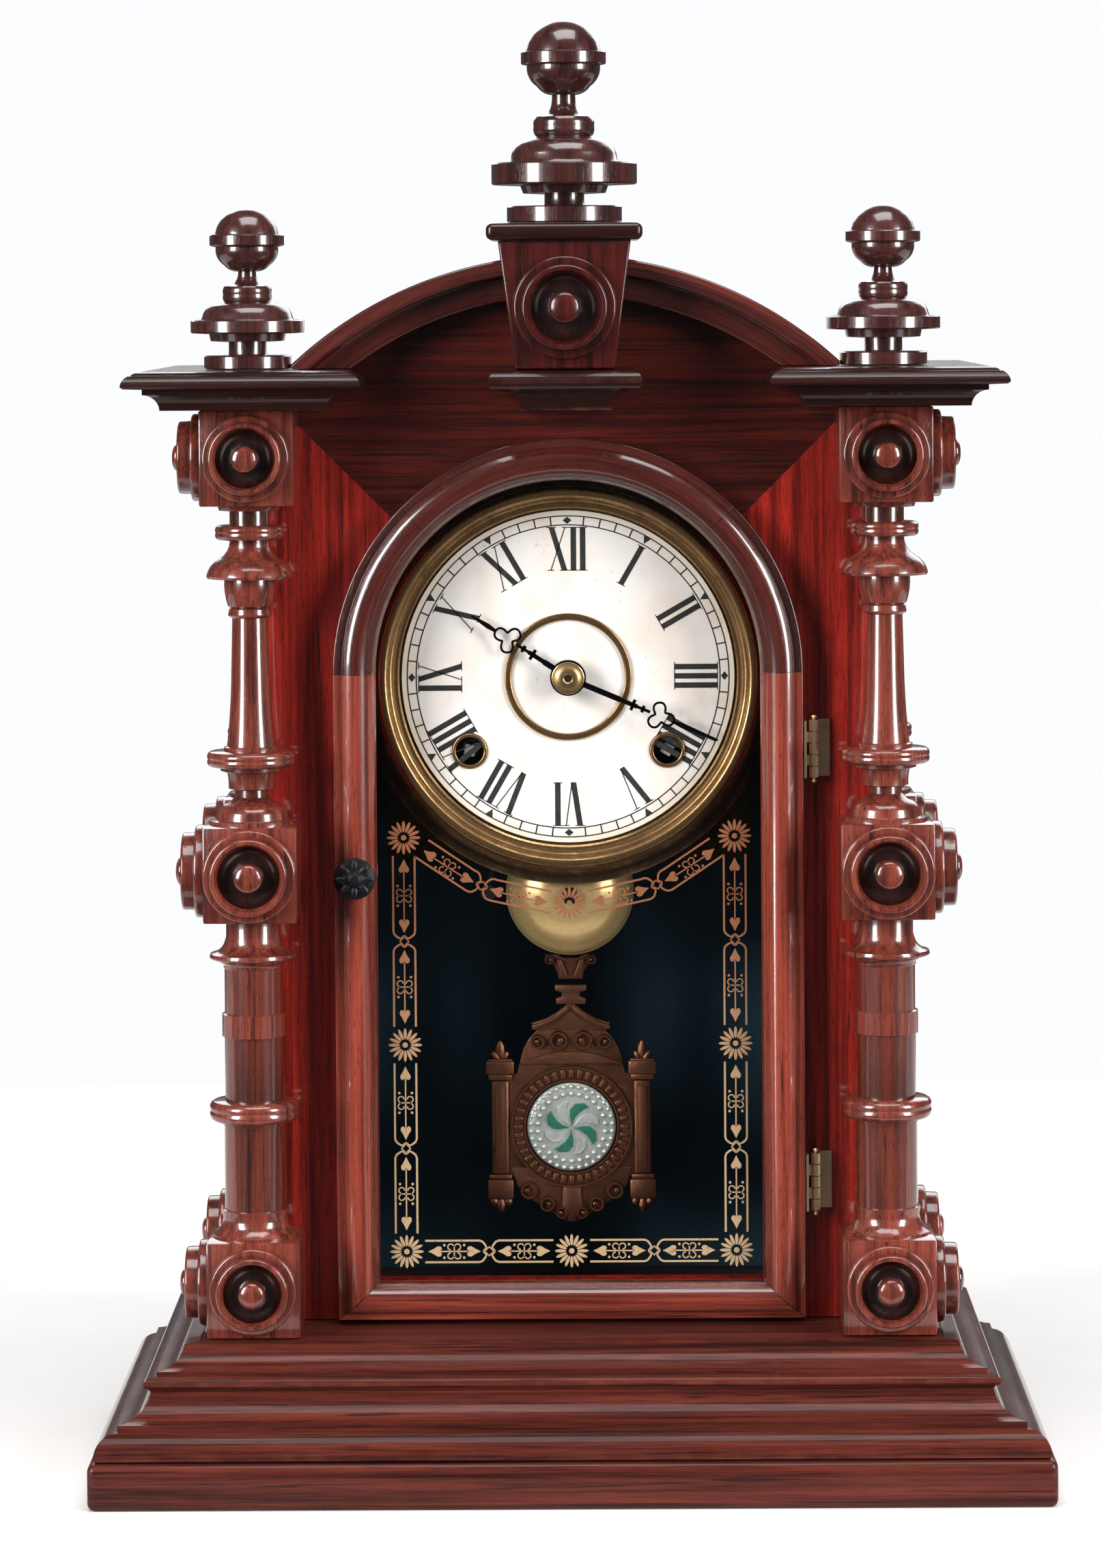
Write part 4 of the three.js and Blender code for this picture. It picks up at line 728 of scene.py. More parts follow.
def moulding(name, node, along, length):
    low, high = span("base_board")
    foot = span(node)[0].z
    outline = bent([(setback, height, -bend[0]) if bend else (setback, height)
                    for setback, height, *bend in moulding_section()], 8)
    bm = bmesh.new()
    face = bm.faces.new([bm.verts.new((-length, low.y + p.x, foot + p.y)) for p in outline])
    grown = bmesh.ops.extrude_face_region(bm, geom=[face])["geom"]
    bmesh.ops.translate(bm, vec=(2 * length, 0, 0), verts=[g for g in grown if isinstance(g, bmesh.types.BMVert)])
    joint = 0.06
    if along == "front":
        for side in (-1, 1):
            slice_off(bm, (side * (high.x - joint), low.y, 0), Vector((side, 1, 0)))
        material = base_wood
    else:
        side = -1 if along == "left" else 1
        shift = Matrix.Translation((side * (high.x + low.y), 0, 0))
        bmesh.ops.transform(bm, matrix=shift @ Matrix.Rotation(side * math.pi / 2, 4, "Z"), verts=bm.verts)
        slice_off(bm, (side * high.x, low.y + joint, 0), Vector((-side, -1, 0)))
        slice_off(bm, (0, high.y, 0), Vector((0, 1, 0)))
        material = base_side_wood
    finish(name, bm, "case", "rosewood", material, [node])


plinth()
moulding("moulding_front", "base_moulding_front", "front", 170)
moulding("moulding_left", "base_moulding_left", "left", 120)
moulding("moulding_right", "base_moulding_right", "right", 120)

# %% [markdown]
# ## Case boards
# The side walls and the front board are flat veneered boards, so their plain solids stay and get wood
# with the grain upright. The roof is one board bent over the case: an arc spun from a short section
# is round where the plain one is faceted.

# %% Case boards and roof
dress(floor_wood, "case_floor")


def plain_solid(node):
    """A board whose plain solid already has the right shape, ready to be cut and finished."""
    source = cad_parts[node]
    bm = bmesh.new()
    bm.from_mesh(source.data)
    bmesh.ops.transform(bm, matrix=Matrix.Scale(1 / MM, 4) @ source.matrix_world, verts=bm.verts)
    bmesh.ops.remove_doubles(bm, verts=bm.verts, dist=0.01)
    bmesh.ops.dissolve_limit(bm, angle_limit=0.01, verts=bm.verts, edges=bm.edges)
    bmesh.ops.recalc_face_normals(bm, faces=bm.faces)
    return bm


def board(name, node, slot, outer, inward):
    """A board that is finished outside and carries the near-black painted shade on the faces that look inward."""
    bm = plain_solid(node)
    for face in bm.faces:
        # Faces that look inward take the painted shade.
        face.material_index = 1 if face.normal.dot(inward) > 0.5 else 0
    finish(name, bm, "case", slot, [outer, inner_painted_shade], [node])


def front_board():
    """The front board, veneered in three: both sides upright, and the head across, mitred at 45 degrees."""
    bm = plain_solid("front_panel")
    for side in (-1, 1):
        everything = list(bm.verts) + list(bm.edges) + list(bm.faces)
        bmesh.ops.bisect_plane(bm, geom=everything, plane_co=(side * 88, 0, 345), plane_no=(-side, 0, 1), dist=1e-4)
    for face in bm.faces:
        centre = face.calc_center_median()
        head = centre.z > 257 + abs(centre.x)
        # The back face, inside the case, takes the near-black painted shade.
        face.material_index = 2 if face.normal.y > 0.9 else int(head)
    finish("front_board", bm, "case", "rosewood", [panel_wood, head_wood, inner_painted_shade], ["front_panel"])


board("side_board_left", "case_side_left", "rosewood", side_wood, Vector((1, 0, 0)))
board("side_board_right", "case_side_right", "rosewood", side_wood, Vector((-1, 0, 0)))
board("back_board", "back_panel", "pine", back_pine, Vector((0, -1, 0)))
front_board()


def arc_spin(bm, section, centre, half_angle, steps=64):
    """Spins a closed [radius, y] section over the top of the case, half_angle each way from upright."""
    points = [Vector((0, p.y, p.x)) for p in bent(section, 5)]
    face = bm.faces.new([bm.verts.new(point) for point in points])
    start = Matrix.Rotation(half_angle, 4, "Y")
    bmesh.ops.transform(bm, matrix=start, verts=face.verts)
    bmesh.ops.spin(
        bm,
        geom=[face, *face.edges, *face.verts],
        axis=(0, 1, 0),
        cent=(0, 0, 0),
        angle=-2 * half_angle,
        steps=steps,
        use_merge=False,
        use_duplicate=False,
    )
    bmesh.ops.translate(bm, vec=centre, verts=bm.verts)


def arc_of(node, radius_top):
    """Centre height and half angle of an arc from its box: it is as wide and high as its chord and rise."""
    low, high = span(node)
    centre = high.z - radius_top
    return centre, math.asin(high.x / radius_top)


ROOF_R = 131.2
ROOF_T = 4.7
ROOF_Z, ROOF_ANGLE = arc_of("case_roof", ROOF_R)


def roof():
    low, high = span("case_roof")
    bm = bmesh.new()
    arc_spin(
        bm,
        [(ROOF_R - ROOF_T, low.y), (ROOF_R, low.y), (ROOF_R, high.y), (ROOF_R - ROOF_T, high.y)],
        (0, 0, ROOF_Z),
        ROOF_ANGLE,
    )
    finish("roof_board", bm, "case", "rosewood", roof_wood, ["case_roof"])


roof()

# %% [markdown]
# ## Arch moulding
# A moulding follows the round of the roof. It has a raised outer band and, eight millimetres behind it,
# a broad inner band with a rounded edge. It ends on the cornices beside the finials' feet, so the spin
# runs on a little too far and two slices trim it.

# %% Arch moulding
def arch():
    low, high = span("arch_moulding")
    front, back = low.y, high.y
    section = [
        (117.7, back), (117.7, front + 9.6), (118.5, front + 8.4, 0.2), (124.9, front + 8.0),
        (125.7, front + 7.2), (125.7, front + 1.0), (126.7, front, 0.2), (130.2, front),
        (131.2, front + 1.0, 0.2), (131.2, back),
    ]
    bm = bmesh.new()
    arc_spin(bm, section, (0, 0, ROOF_Z), math.radians(47), 96)
    slice_off(bm, (0, 0, low.z), Vector((0, 0, -1)))
    for side in (-1, 1):
        slice_off(bm, (side * high.x, 0, 0), Vector((side, 0, 0)))
    finish("arch_band", bm, "case", "rosewood", arch_wood, ["arch_moulding"])


arch_wood = rosewood("rosewood_arch", "arc", (0.085, 0.0155, 0.0115), (0.018, 0.0035, 0.003), 12.0, 0.6, Vector((0, 0, ROOF_Z)))
arch()

# %% [markdown]
# ## Roundels
# Every square block of the columns, and the keystone, carries a bullseye that was turned on a lathe and
# glued on: a rounded flange, a raised tier with a deep cup in it, and a nub that stands in the cup.
# The walls of the cups take a near-black finish, a painted shade for the deep hollows.

# %% Roundels
cup_painted_shade = rosewood("rosewood_cup_painted_shade", "z", (0.020, 0.0045, 0.0035), (0.004, 0.0018, 0.0016), 15.0, 0.6)


def bullseye(bm, radius, height, place, facing, sides=40):
    """A roundel of a given size. Its profile is in shares of both."""
    r, h = radius, height
    profile = [
        (0, -0.4), (r - 0.3, -0.4), (r, 0.05 * h), (r, 0.23 * h), (0.93 * r, 0.33 * h, 0.25), (0.84 * r, 0.35 * h),
        (0.83 * r, 0.68 * h), (0.775 * r, 0.79 * h, 0.25), (0.72 * r, 0.77 * h), (0.70 * r, 0.70 * h),
        (0.37 * r, 0.30 * h, -0.22), (0.31 * r, 0.33 * h), (0.30 * r, 0.80 * h), (0.24 * r, 0.96 * h, 0.2), (0, h, 0.1),
    ]
    fresh = turn(bm, profile, place, facing, sides, 4)
    home = (Matrix.Translation(place) @ facing).inverted()
    for face in {f for v in fresh for f in v.link_faces}:
        at = home @ face.calc_center_median()
        # The walls of the cup take the second slot, a near-black painted shade.
        if 0.31 * r < math.hypot(at.x, at.y) < 0.68 * r and at.z < 0.68 * h:
            face.material_index = 1


# %% [markdown]
# ## Keystone, its cap and its bracket
# The keystone tapers towards its foot and is the only part of the arch that stands clear of it. Its cap
# is a slab with rounded edges. The bracket below steps out in an ovolo over a cove.

# %% Keystone
KEY_ROUNDEL_R = 16.7


def keystone():
    low, high = span("keystone")
    face = low.y + 9.6
    foot = 16.1
    head = high.x
    bm = bmesh.new()
    flat(bm, [(-foot, low.z), (foot, low.z), (head, high.z), (-head, high.z)], high.y, high.y - face, 0.9, 1, 3)
    eye_z = (low.z + high.z) / 2 - 0.8
    bullseye(bm, KEY_ROUNDEL_R, 9.6, (0, face, eye_z), TO_FRONT, 56)
    finish("keystone_block", bm, "case", "rosewood", [keystone_wood, cup_painted_shade], ["keystone"])

    low, high = span("keystone_cap")
    bm = bmesh.new()
    block(bm, low, high, 2.0, 4)
    finish("keystone_slab", bm, "case", "rosewood_dark", dark_wood, ["keystone_cap"])

    low, high = span("keystone_bracket")
    bm = bmesh.new()
    extra = 20
    section = [(9.4, 0), (6.2, 7.0, -0.22), (0.6, 7.2), (0, 8.0), (2.6, 13.0, 0.24), (4.2, 13.2)]
    lifted = [(inset, low.z + height, *bend) for inset, height, *bend in section]
    stack(bm, (low.x, low.y), (high.x, high.y + extra), lifted)
    slice_off(bm, (0, high.y, 0), Vector((0, 1, 0)))
    finish("keystone_corbel", bm, "case", "rosewood_dark", dark_wood, ["keystone_bracket"])


keystone_wood = rosewood("rosewood_keystone", "z", (0.050, 0.0065, 0.0055), (0.010, 0.002, 0.0018), 13.0, 0.6, None, 0.6)
keystone()

# %% [markdown]
# ## Cornices
# Each cornice is an L of moulded board: a block in front that carries a finial, and an arm that runs back
# along the case. Two slabs with moulded edges make it. The arm's inner edge is plain, because it lies
# against the case, so the arm is made too wide and sliced.

# %% Cornices
def cornice(side, node, name):
    low, high = span(node)
    back = -13.9
    section = [
        (11.7, 0), (6.5, 5.2, -0.2), (6.5, 6.9), (0.9, 7.2), (0, 7.9), (3.2, 11.6, 0.17), (7.0, 12.6, 0.1), (9.0, 12.6),
    ]
    lifted = [(inset, low.z + height, *bend) for inset, height, *bend in section]
    bm = bmesh.new()
    stack(bm, (low.x, low.y), (high.x, back + 24), lifted)
    slice_off(bm, (0, back, 0), Vector((0, 1, 0)))
    arm = bmesh.new()
    inner = 88.7
    ends = (inner - 14, high.x) if side > 0 else (low.x, -inner + 14)
    stack(arm, (ends[0], back - 24), (ends[1], high.y + 14), lifted)
    slice_off(arm, (side * inner, 0, 0), Vector((-side, 0, 0)))
    slice_off(arm, (0, back, 0), Vector((0, -1, 0)))
    slice_off(arm, (0, high.y, 0), Vector((0, 1, 0)))
    scratch = bpy.data.meshes.new("arm")
    arm.to_mesh(scratch)
    arm.free()
    bm.from_mesh(scratch)
    bpy.data.meshes.remove(scratch)
    finish(name, bm, "case", "rosewood_dark", dark_wood, [node])


cornice(-1, "cornice_left", "cornice_shelf_left")
cornice(1, "cornice_right", "cornice_shelf_right")

# %% [markdown]
# ## Columns
# Each column is one stick with three square blocks left on it and two turned lengths between them. The
# profile is read from the bottom of each length up. The blocks keep crisp but not sharp edges, and carry
# roundels on the front and on the outer side. The rear columns only have them on the outer side.

# %% Columns
LOWER_TURNING = [
    (0, -1), (14.1, -1), (14.1, 0.9), (10.9, 8.3, -0.2), (10.9, 8.9), (10.0, 9.1), (10.0, 36.8), (10.4, 37.0),
    (10.4, 38.1), (13.4, 38.4), (14.4, 41.6, 0.24), (13.4, 44.8, 0.24), (9.6, 45.1), (9.6, 65.9), (10.4, 66.2),
    (10.4, 73.5), (9.5, 73.8), (9.5, 88.5), (9.8, 88.8), (11.0, 90.7, -0.2), (11.0, 91.5), (13.9, 91.7),
    (14.35, 92.5, 0.2), (14.1, 93.4), (9.2, 97.9, -0.17), (8.9, 99.0), (8.9, 105.7), (0, 105.7),
]
UPPER_TURNING = [
    (0, -1), (14.1, -1), (14.1, 1.3), (11.9, 1.6), (11.75, 2.0), (7.4, 7.0, 0.2), (5.6, 8.9), (5.5, 11.2),
    (7.6, 11.7), (8.0, 16.9, -0.03), (10.2, 17.6), (10.2, 18.7), (13.5, 19.0), (14.35, 21.4, 0.24),
    (13.5, 23.9, 0.24), (9.0, 24.2), (9.0, 25.3), (8.0, 25.6), (6.5, 45.2, -0.01), (5.9, 67.7), (6.9, 68.2),
    (7.1, 69.4, 0.2), (6.9, 70.6), (6.4, 71.0), (7.3, 71.7), (8.4, 80.4, 0.05), (13.9, 80.7), (14.3, 81.5),
    (9.9, 87.1, 0.12), (6.5, 93.0, -0.13), (10.1, 93.4), (11.1, 95.7, 0.26), (10.1, 98.1, 0.26), (6.5, 98.3),
    (6.5, 102.8), (9.9, 103.0), (10.3, 104.0), (10.3, 105.7), (0, 105.7),
]
BLOCK_H = 31.3
TURNED_L = 104.75
ROUNDEL_R = 14.25


def column(node, name, side, has_front):
    low, high = span(node)
    half = 15.3
    deep = (low.y if has_front else low.y) + (9.6 if has_front else 0)
    centre = Vector((side * (abs(high.x if side > 0 else low.x) - 9.6 - half), deep + half, low.z))
    bm = bmesh.new()
    for i in range(3):
        foot = centre.z + i * (BLOCK_H + TURNED_L)
        block(bm, (centre.x - half, centre.y - half, foot), (centre.x + half, centre.y + half, foot + BLOCK_H), 0.7, 2)
        radius = ROUNDEL_R + (1.0 if i == 1 else 0)
        level = foot + BLOCK_H / 2
        outward = TO_RIGHT if side > 0 else TO_LEFT
        bullseye(bm, radius, 9.6, (centre.x + side * half, centre.y, level), outward)
        if has_front:
            bullseye(bm, radius, 9.6, (centre.x, centre.y - half, level), TO_FRONT)
    turn(bm, LOWER_TURNING, (centre.x, centre.y, centre.z + BLOCK_H), Matrix(), 56, 4)
    turn(bm, UPPER_TURNING, (centre.x, centre.y, centre.z + 2 * BLOCK_H + TURNED_L), Matrix(), 56, 4)
    finish(name, bm, "case", "rosewood", [column_wood, cup_painted_shade], [node])


for side, word in ((-1, "left"), (1, "right")):
    column(f"column_front_{word}", f"pillar_front_{word}", side, True)
    column(f"column_rear_{word}", f"pillar_rear_{word}", side, False)

# %% [markdown]
# ## Finials
# Three turned finials stand on the cornices and the keystone's cap: a foot, a waist, a broad disc, a dome
# with a collar, a neck as thin as a pencil, and a ball with a band round it.

# %% Finials
SIDE_FINIAL = [
    (0, 0), (13.9, 0), (14.3, 0.4), (14.3, 4.1), (13.9, 4.5), (6.4, 4.6), (6.2, 5.0), (6.2, 8.8), (12.1, 9.2),
    (12.6, 11.5), (18.2, 11.8), (18.6, 12.2), (18.6, 15.7), (18.2, 16.0), (15.2, 16.2), (14.9, 16.8), (8.0, 21.5, 0.22),
    (7.5, 21.9), (7.9, 24.4, 0.12), (7.5, 27.1, 0.12), (3.0, 30.6, -0.2), (2.9, 31.9), (7.5, 34.0, 0.12), (10.2, 39.9, 0.15),
    (11.9, 40.3), (12.2, 40.6), (12.2, 43.6), (11.9, 43.9), (10.4, 44.1), (0, 52.5, 0.2),
]
CENTER_FINIAL = [
    (0, 0), (18.4, 0), (18.8, 0.4), (18.8, 5.0), (18.4, 5.4), (6.8, 5.5), (6.5, 6.0), (6.5, 9.2), (13.5, 9.6),
    (14.4, 12.0), (23.3, 12.4), (23.8, 12.9), (23.8, 19.0), (23.3, 19.5), (18.0, 19.7), (17.4, 20.6), (10.0, 27.6, 0.22),
    (9.2, 28.2), (9.9, 31.4, 0.12), (9.2, 34.5, 0.12), (3.9, 39.4, -0.2), (3.8, 41.6), (8.7, 44.4, 0.12), (12.0, 51.3, 0.14),
    (13.6, 51.6), (13.9, 51.9), (13.9, 55.4), (13.6, 55.7), (12.2, 55.9), (0, 66.0, 0.2),
]


def finial(node, name, profile):
    low, high = span(node)
    centre = (low + high) / 2
    bm = bmesh.new()
    turn(bm, profile, (centre.x, centre.y, low.z), Matrix(), 64, 6)
    finish(name, bm, "case", "rosewood_dark", finial_wood, [node])


finial("finial_left", "turned_finial_left", SIDE_FINIAL)
finial("finial_right", "turned_finial_right", SIDE_FINIAL)
finial("finial_center", "turned_finial_center", CENTER_FINIAL)

# %% [markdown]
# # The door
# The frame is an ovolo moulding that runs up both stiles and round the head, with a thin flat fillet
# outside it. Its section is spun half round for the head, pulled straight down for the stiles, and
# carried across the bottom with mitred corners. The head, the stiles and the rail are separate sticks
# with their own grain, and a fine dark line shows where they meet.

# %% Door frame
DOOR_LOW, DOOR_HIGH = span("door_frame")
SPRING_Z = DOOR_ARCH.z


def door_section():
    """[setback from the frame's outer edge, depth behind the frame's front]."""
    return bent([
        (0, 11.6), (0, 3.7), (0.4, 3.2, 0.2), (2.9, 3.0), (3.1, 1.9), (3.6, 1.3, 0.1), (7.6, 0, 0.1),
        (12.2, 3.1, 0.13), (13.8, 6.4, 0.08), (14.0, 7.2), (10.7, 7.2), (10.7, 11.6),
    ], 6)


def door_frame():
    half = DOOR_HIGH.x
    width = 14.0
    bm = bmesh.new()
    points = [Vector((half - p.x, DOOR_LOW.y + p.y, 0)) for p in door_section()]
    made = thread(bm, points)
    bm.edges.new((made[-1], made[0]))
    ring_edges = [e for v in made for e in v.link_edges]
    last = bmesh.ops.spin(
        bm,
        geom=list(set(ring_edges)) + made,
        axis=(0, -1, 0),
        cent=(0, 0, 0),
        angle=math.pi,
        steps=72,
        use_merge=False,
        use_duplicate=False,
    )["geom_last"]
    head_faces = list(bm.faces)
    bmesh.ops.translate(bm, vec=(0, 0, SPRING_Z), verts=bm.verts)

    def carry(geometry, move):
        """Pulls the end of the moulding on to where move puts each point."""
        edges = [g for g in geometry if isinstance(g, bmesh.types.BMEdge)]
        grown = bmesh.ops.extrude_edge_only(bm, edges=edges)["geom"]
        for vert in (g for g in grown if isinstance(g, bmesh.types.BMVert)):
            vert.co = move(vert.co)
        return grown

    rise = (61.9 - DOOR_LOW.z) / width
    down = carry(last, lambda co: Vector((co.x, co.y, DOOR_LOW.z + (half - abs(co.x)) * rise)))
    stile_faces = {f for f in bm.faces if f not in set(head_faces)}
    across = carry(down, lambda co: Vector((-co.x, co.y, co.z)))
    rail_faces = {f for f in bm.faces if f not in set(head_faces) and f not in stile_faces}
    carry(across, lambda co: Vector((co.x, co.y, SPRING_Z)))
    for face in bm.faces:
        face.material_index = 0
    for face in head_faces:
        face.material_index = 1
    for face in rail_faces:
        face.material_index = 2
    finish("door_moulding", bm, "door", "rosewood", [door_wood, door_arch_wood, door_rail_wood], ["door_frame"])


door_frame()

# %% [markdown]
# A joint between two sticks is a hairline: glue squeezed out and went black. A ribbon that lies a few
# hundredths of a millimetre over the moulding gives it, so it has the moulding's own section.

# %% Joint lines of the door
def joint_line(bm, place):
    """A hairline across the moulding. place turns a setback and a width offset into a point."""
    skin = [p for p in door_section() if p.y <= 7.0]
    rows = []
    for offset in (-0.16, 0.16):
        rows.append([bm.verts.new(place(p.x, p.y - 0.05, offset)) for p in skin])
    edges = []
    for row in rows:
        edges += [bm.edges.new(pair) for pair in zip(row, row[1:])]
    bmesh.ops.bridge_loops(bm, edges=edges)


def joint_lines():
    half = DOOR_HIGH.x
    bm = bmesh.new()
    rise = (61.9 - DOOR_LOW.z) / 14.0
    for side in (-1, 1):
        joint_line(bm, lambda s, y, o, side=side: (side * (half - s), DOOR_LOW.y + y, SPRING_Z + o))
        joint_line(bm, lambda s, y, o, side=side: (side * (half - s), DOOR_LOW.y + y, DOOR_LOW.z + s * rise + o * 1.3))
        angle = math.radians(side * 45)
        joint_line(bm, lambda s, y, o, a=angle: (
            (half - s) * math.sin(a + o / (half - s)), DOOR_LOW.y + y, SPRING_Z + (half - s) * math.cos(a + o / (half - s))))
    bmesh.ops.solidify(bm, geom=list(bm.faces), thickness=0.04)
    finish("door_joint_lines", bm, "door", "rosewood", seam_dark)


seam_dark = rosewood("rosewood_seam", "z", (0.02, 0.007, 0.005), (0.008, 0.003, 0.002), 14.0, 0.3)
joint_lines()
dress(pane_glass, "door_glass")

# %% [markdown]
# ## Gilt border on the glass
# The lower glass has a border of gold leaf laid on its back: two fine lines each side of a band, a
# daisy wheel at every corner and half way up, and between them scrolls, hearts and buds on a stem. Fine
# lines could be painted in a material, but leaf has an edge, and the door opens, so it is cut as thin
# metal. Scrolls are curves with a round section, pressed flat.

# %% Strokes and petals in leaf
LEAF_BACK = span("door_glass")[1].y + 0.12
LEAF_T = 0.08


def mirrored(points):
    """An outline's right half followed by its left half."""
    return list(points) + [(-p[0], p[1]) for p in reversed(points)]


def strip(bm, points, width, closed=False, level=LEAF_BACK):
    """A flat ribbon along [x, z] points, mitred at its corners."""
    line = [Vector(p) for p in points]
    count = len(line)
    rows = []
    for i, point in enumerate(line):
        before = line[i - 1] if (i or closed) else point
        after = line[(i + 1) % count] if (i < count - 1 or closed) else point
        along = (after - before).normalized()
        side = Vector((-along.y, along.x)) * width / 2
        rows.append([bm.verts.new((point.x + s * side.x, level, point.y + s * side.y)) for s in (-1, 1)])
    pairs = list(zip(rows, rows[1:])) + ([(rows[-1], rows[0])] if closed else [])
    for (a, b), (c, d) in pairs:
        bm.faces.new((a, b, d, c))


def petal(bm, x, z, length, width, degrees, sides=10):
    """A petal of leaf whose foot is at a point and that points away at an angle from upright."""
    made = bmesh.ops.create_circle(bm, cap_ends=True, segments=sides, radius=0.5)["verts"]
    turn_by = Matrix.Rotation(math.radians(degrees), 4, "Y")
    shape = turn_by @ Matrix.Translation((0, 0, length / 2)) @ Matrix.Diagonal((width, 1, length, 1)) @ TO_FRONT
    bmesh.ops.transform(bm, matrix=Matrix.Translation((x, LEAF_BACK, z)) @ shape, verts=made)


def curl(centre, radius, start, sweep):
    """Points of an arc round a centre, in degrees from upright."""
    for i in range(9):
        angle = math.radians(start + sweep * i / 8)
        yield centre[0] + radius * math.sin(angle), centre[1] + radius * math.cos(angle)


def daisy(bm, x, z, radius):
    for i in range(16):
        petal(bm, x + 0.3 * radius * math.sin(i * math.tau / 16), z + 0.3 * radius * math.cos(i * math.tau / 16),
              radius * 0.68, radius * 0.19, i * 360 / 16, 8)
    petal(bm, x, z - radius * 0.16, radius * 0.32, radius * 0.32, 0, 12)


HEART = ((0, 0), (0.9, 1.9), (1.75, 3.2), (1.6, 4.2), (0.9, 4.6), (0.25, 4.1), (0, 3.7))


def bud_row(bm, place, length):
    """One stretch between two daisies: hearts, stems and scrolls each way from a knot.

    place turns [across, along] into [x, z]."""
    middle_at = length / 2

    def drawn(points, width, closed=False):
        strip(bm, [place(*point) for point in points], width, closed)

    for end, flip in ((0, 1), (length, -1)):
        for tip, grows in ((0.6, 1), (middle_at - 2.8, -1)):
            heart = mirrored([(across, end + flip * (tip + grows * along)) for across, along in HEART])
            bm.faces.new([bm.verts.new((x, LEAF_BACK, z)) for x, z in (place(*point) for point in heart[:-1])])
        drawn([(0, end + flip * 4.4), (0, end + flip * (middle_at - 7))], 0.45)
        scroll = (4.6 + middle_at - 7) / 2
        for side in (-1, 1):
            for grows in (-1, 1):
                arc = curl((side * 1.5, scroll + grows * 1.15), 1.0, 90 * side * 3, 250 * side * grows)
                drawn([(across, end + flip * along) for across, along in arc], 0.42)
                dot = place(side * 2.1, end + flip * (scroll + grows * 3.3))
                petal(bm, dot[0], dot[1] - 0.45, 0.9, 0.9, 0, 8)
        drawn([(-1.5, end + flip * scroll), (1.5, end + flip * scroll)], 0.42)
        for side in (-1, 1):
            rail = [(side * BAND / 2, end - flip * 0.4)]
            rail += [(side * BAND / 2, end + flip * (middle_at - 4.2 + i)) for i in range(2)]
            rail += [(side * across, end + flip * (middle_at - up)) for across, up in ((3.2, 2.2), (2.2, 1.4), (1.2, 0.9), (0, 1.9))]
            drawn(rail, 0.66)
    drawn([(1.5, middle_at), (0, middle_at + 1.5), (-1.5, middle_at), (0, middle_at - 1.5)], 0.5, True)


# %% Border
BORDER_X = 54.8
BORDER_FOOT = 71.0
BAND = 7.2
ROSE_R = 5.8
RISERS = (BORDER_FOOT, 140.0, 209.0)
ARC_R = 74.0


def border():
    bm = bmesh.new()
    gap = ROSE_R + 0.7
    for side in (-1, 1):
        for low, high in zip(RISERS, RISERS[1:]):
            bud_row(bm, lambda a, b, x=side * BORDER_X, z=low + gap: (x + a, z + b), high - low - 2 * gap)
        bud_row(bm, lambda a, b, f=side: (f * (gap + b), BORDER_FOOT + a), BORDER_X - 2 * gap)

        def on_arc(across, along, side=side):
            angle = side * (along + gap) / ARC_R
            return (ARC_R + across) * math.sin(angle), DIAL.z - (ARC_R + across) * math.cos(angle)

        bud_row(bm, on_arc, ARC_R * math.acos((DIAL.z - RISERS[2]) / ARC_R) - 2 * gap + 1)
        for z in RISERS:
            daisy(bm, side * BORDER_X, z, ROSE_R)
    daisy(bm, 0, BORDER_FOOT, ROSE_R)
    daisy(bm, 0, DIAL.z - ARC_R, ROSE_R)
    bmesh.ops.recalc_face_normals(bm, faces=bm.faces)
    grown = bmesh.ops.extrude_face_region(bm, geom=list(bm.faces), use_keep_orig=True)["geom"]
    bmesh.ops.translate(bm, vec=(0, LEAF_T, 0), verts=[g for g in grown if isinstance(g, bmesh.types.BMVert)])
    finish("gilt_border", bm, "door", "brass", gilt, merge=False)


border()

# %% [markdown]
# ## Knob and hinges
# The knob is black iron, cast as a star of eight petals round a button, on a plate. The hinges are small
# brass butts with five knuckles. The leaves stay as the frame has them. Knuckles and pin are spun again,
# because a round this small shows its flats.

# %% Knob
def knob():
    low, high = span("door_knob")
    centre = Vector(((low.x + high.x) / 2, 0, (low.z + high.z) / 2))
    front, radius = low.y, (high.x - low.x) / 2
    bm = bmesh.new()
    profile = [(0, 7.0), (2.0, 6.8, -0.1), (2.5, 6.2), (4.4, 5.7, 0.1), (radius - 0.7, 4.2, 0.12), (radius, 3.2, -0.2),
               (radius - 0.6, 2.4, -0.2), (3.2, 2.0), (3.2, 1.2), (4.2, 0.4, -0.2), (4.2, 0), (1.5, 0), (1.5, -25.6), (0, -25.6)]
    back = front + 7.0
    turn(bm, profile, (centre.x, back, centre.z), TO_FRONT, 40, 4)
    for i in range(8):
        made = bmesh.ops.create_uvsphere(bm, u_segments=12, v_segments=8, radius=1.0)["verts"]
        lean = Matrix.Rotation(math.radians(i * 45), 4, "Y")
        shape = lean @ Matrix.Translation((0, 0, 4.2)) @ Matrix.Diagonal((1.15, 0.75, 2.35, 1))
        bmesh.ops.transform(bm, matrix=Matrix.Translation((centre.x, front + 1.55, centre.z)) @ shape, verts=made)
    finish("star_knob", bm, "door_catch", "black_iron", black_iron, ["door_knob"])


knob()
dress(steel, "door_latch")


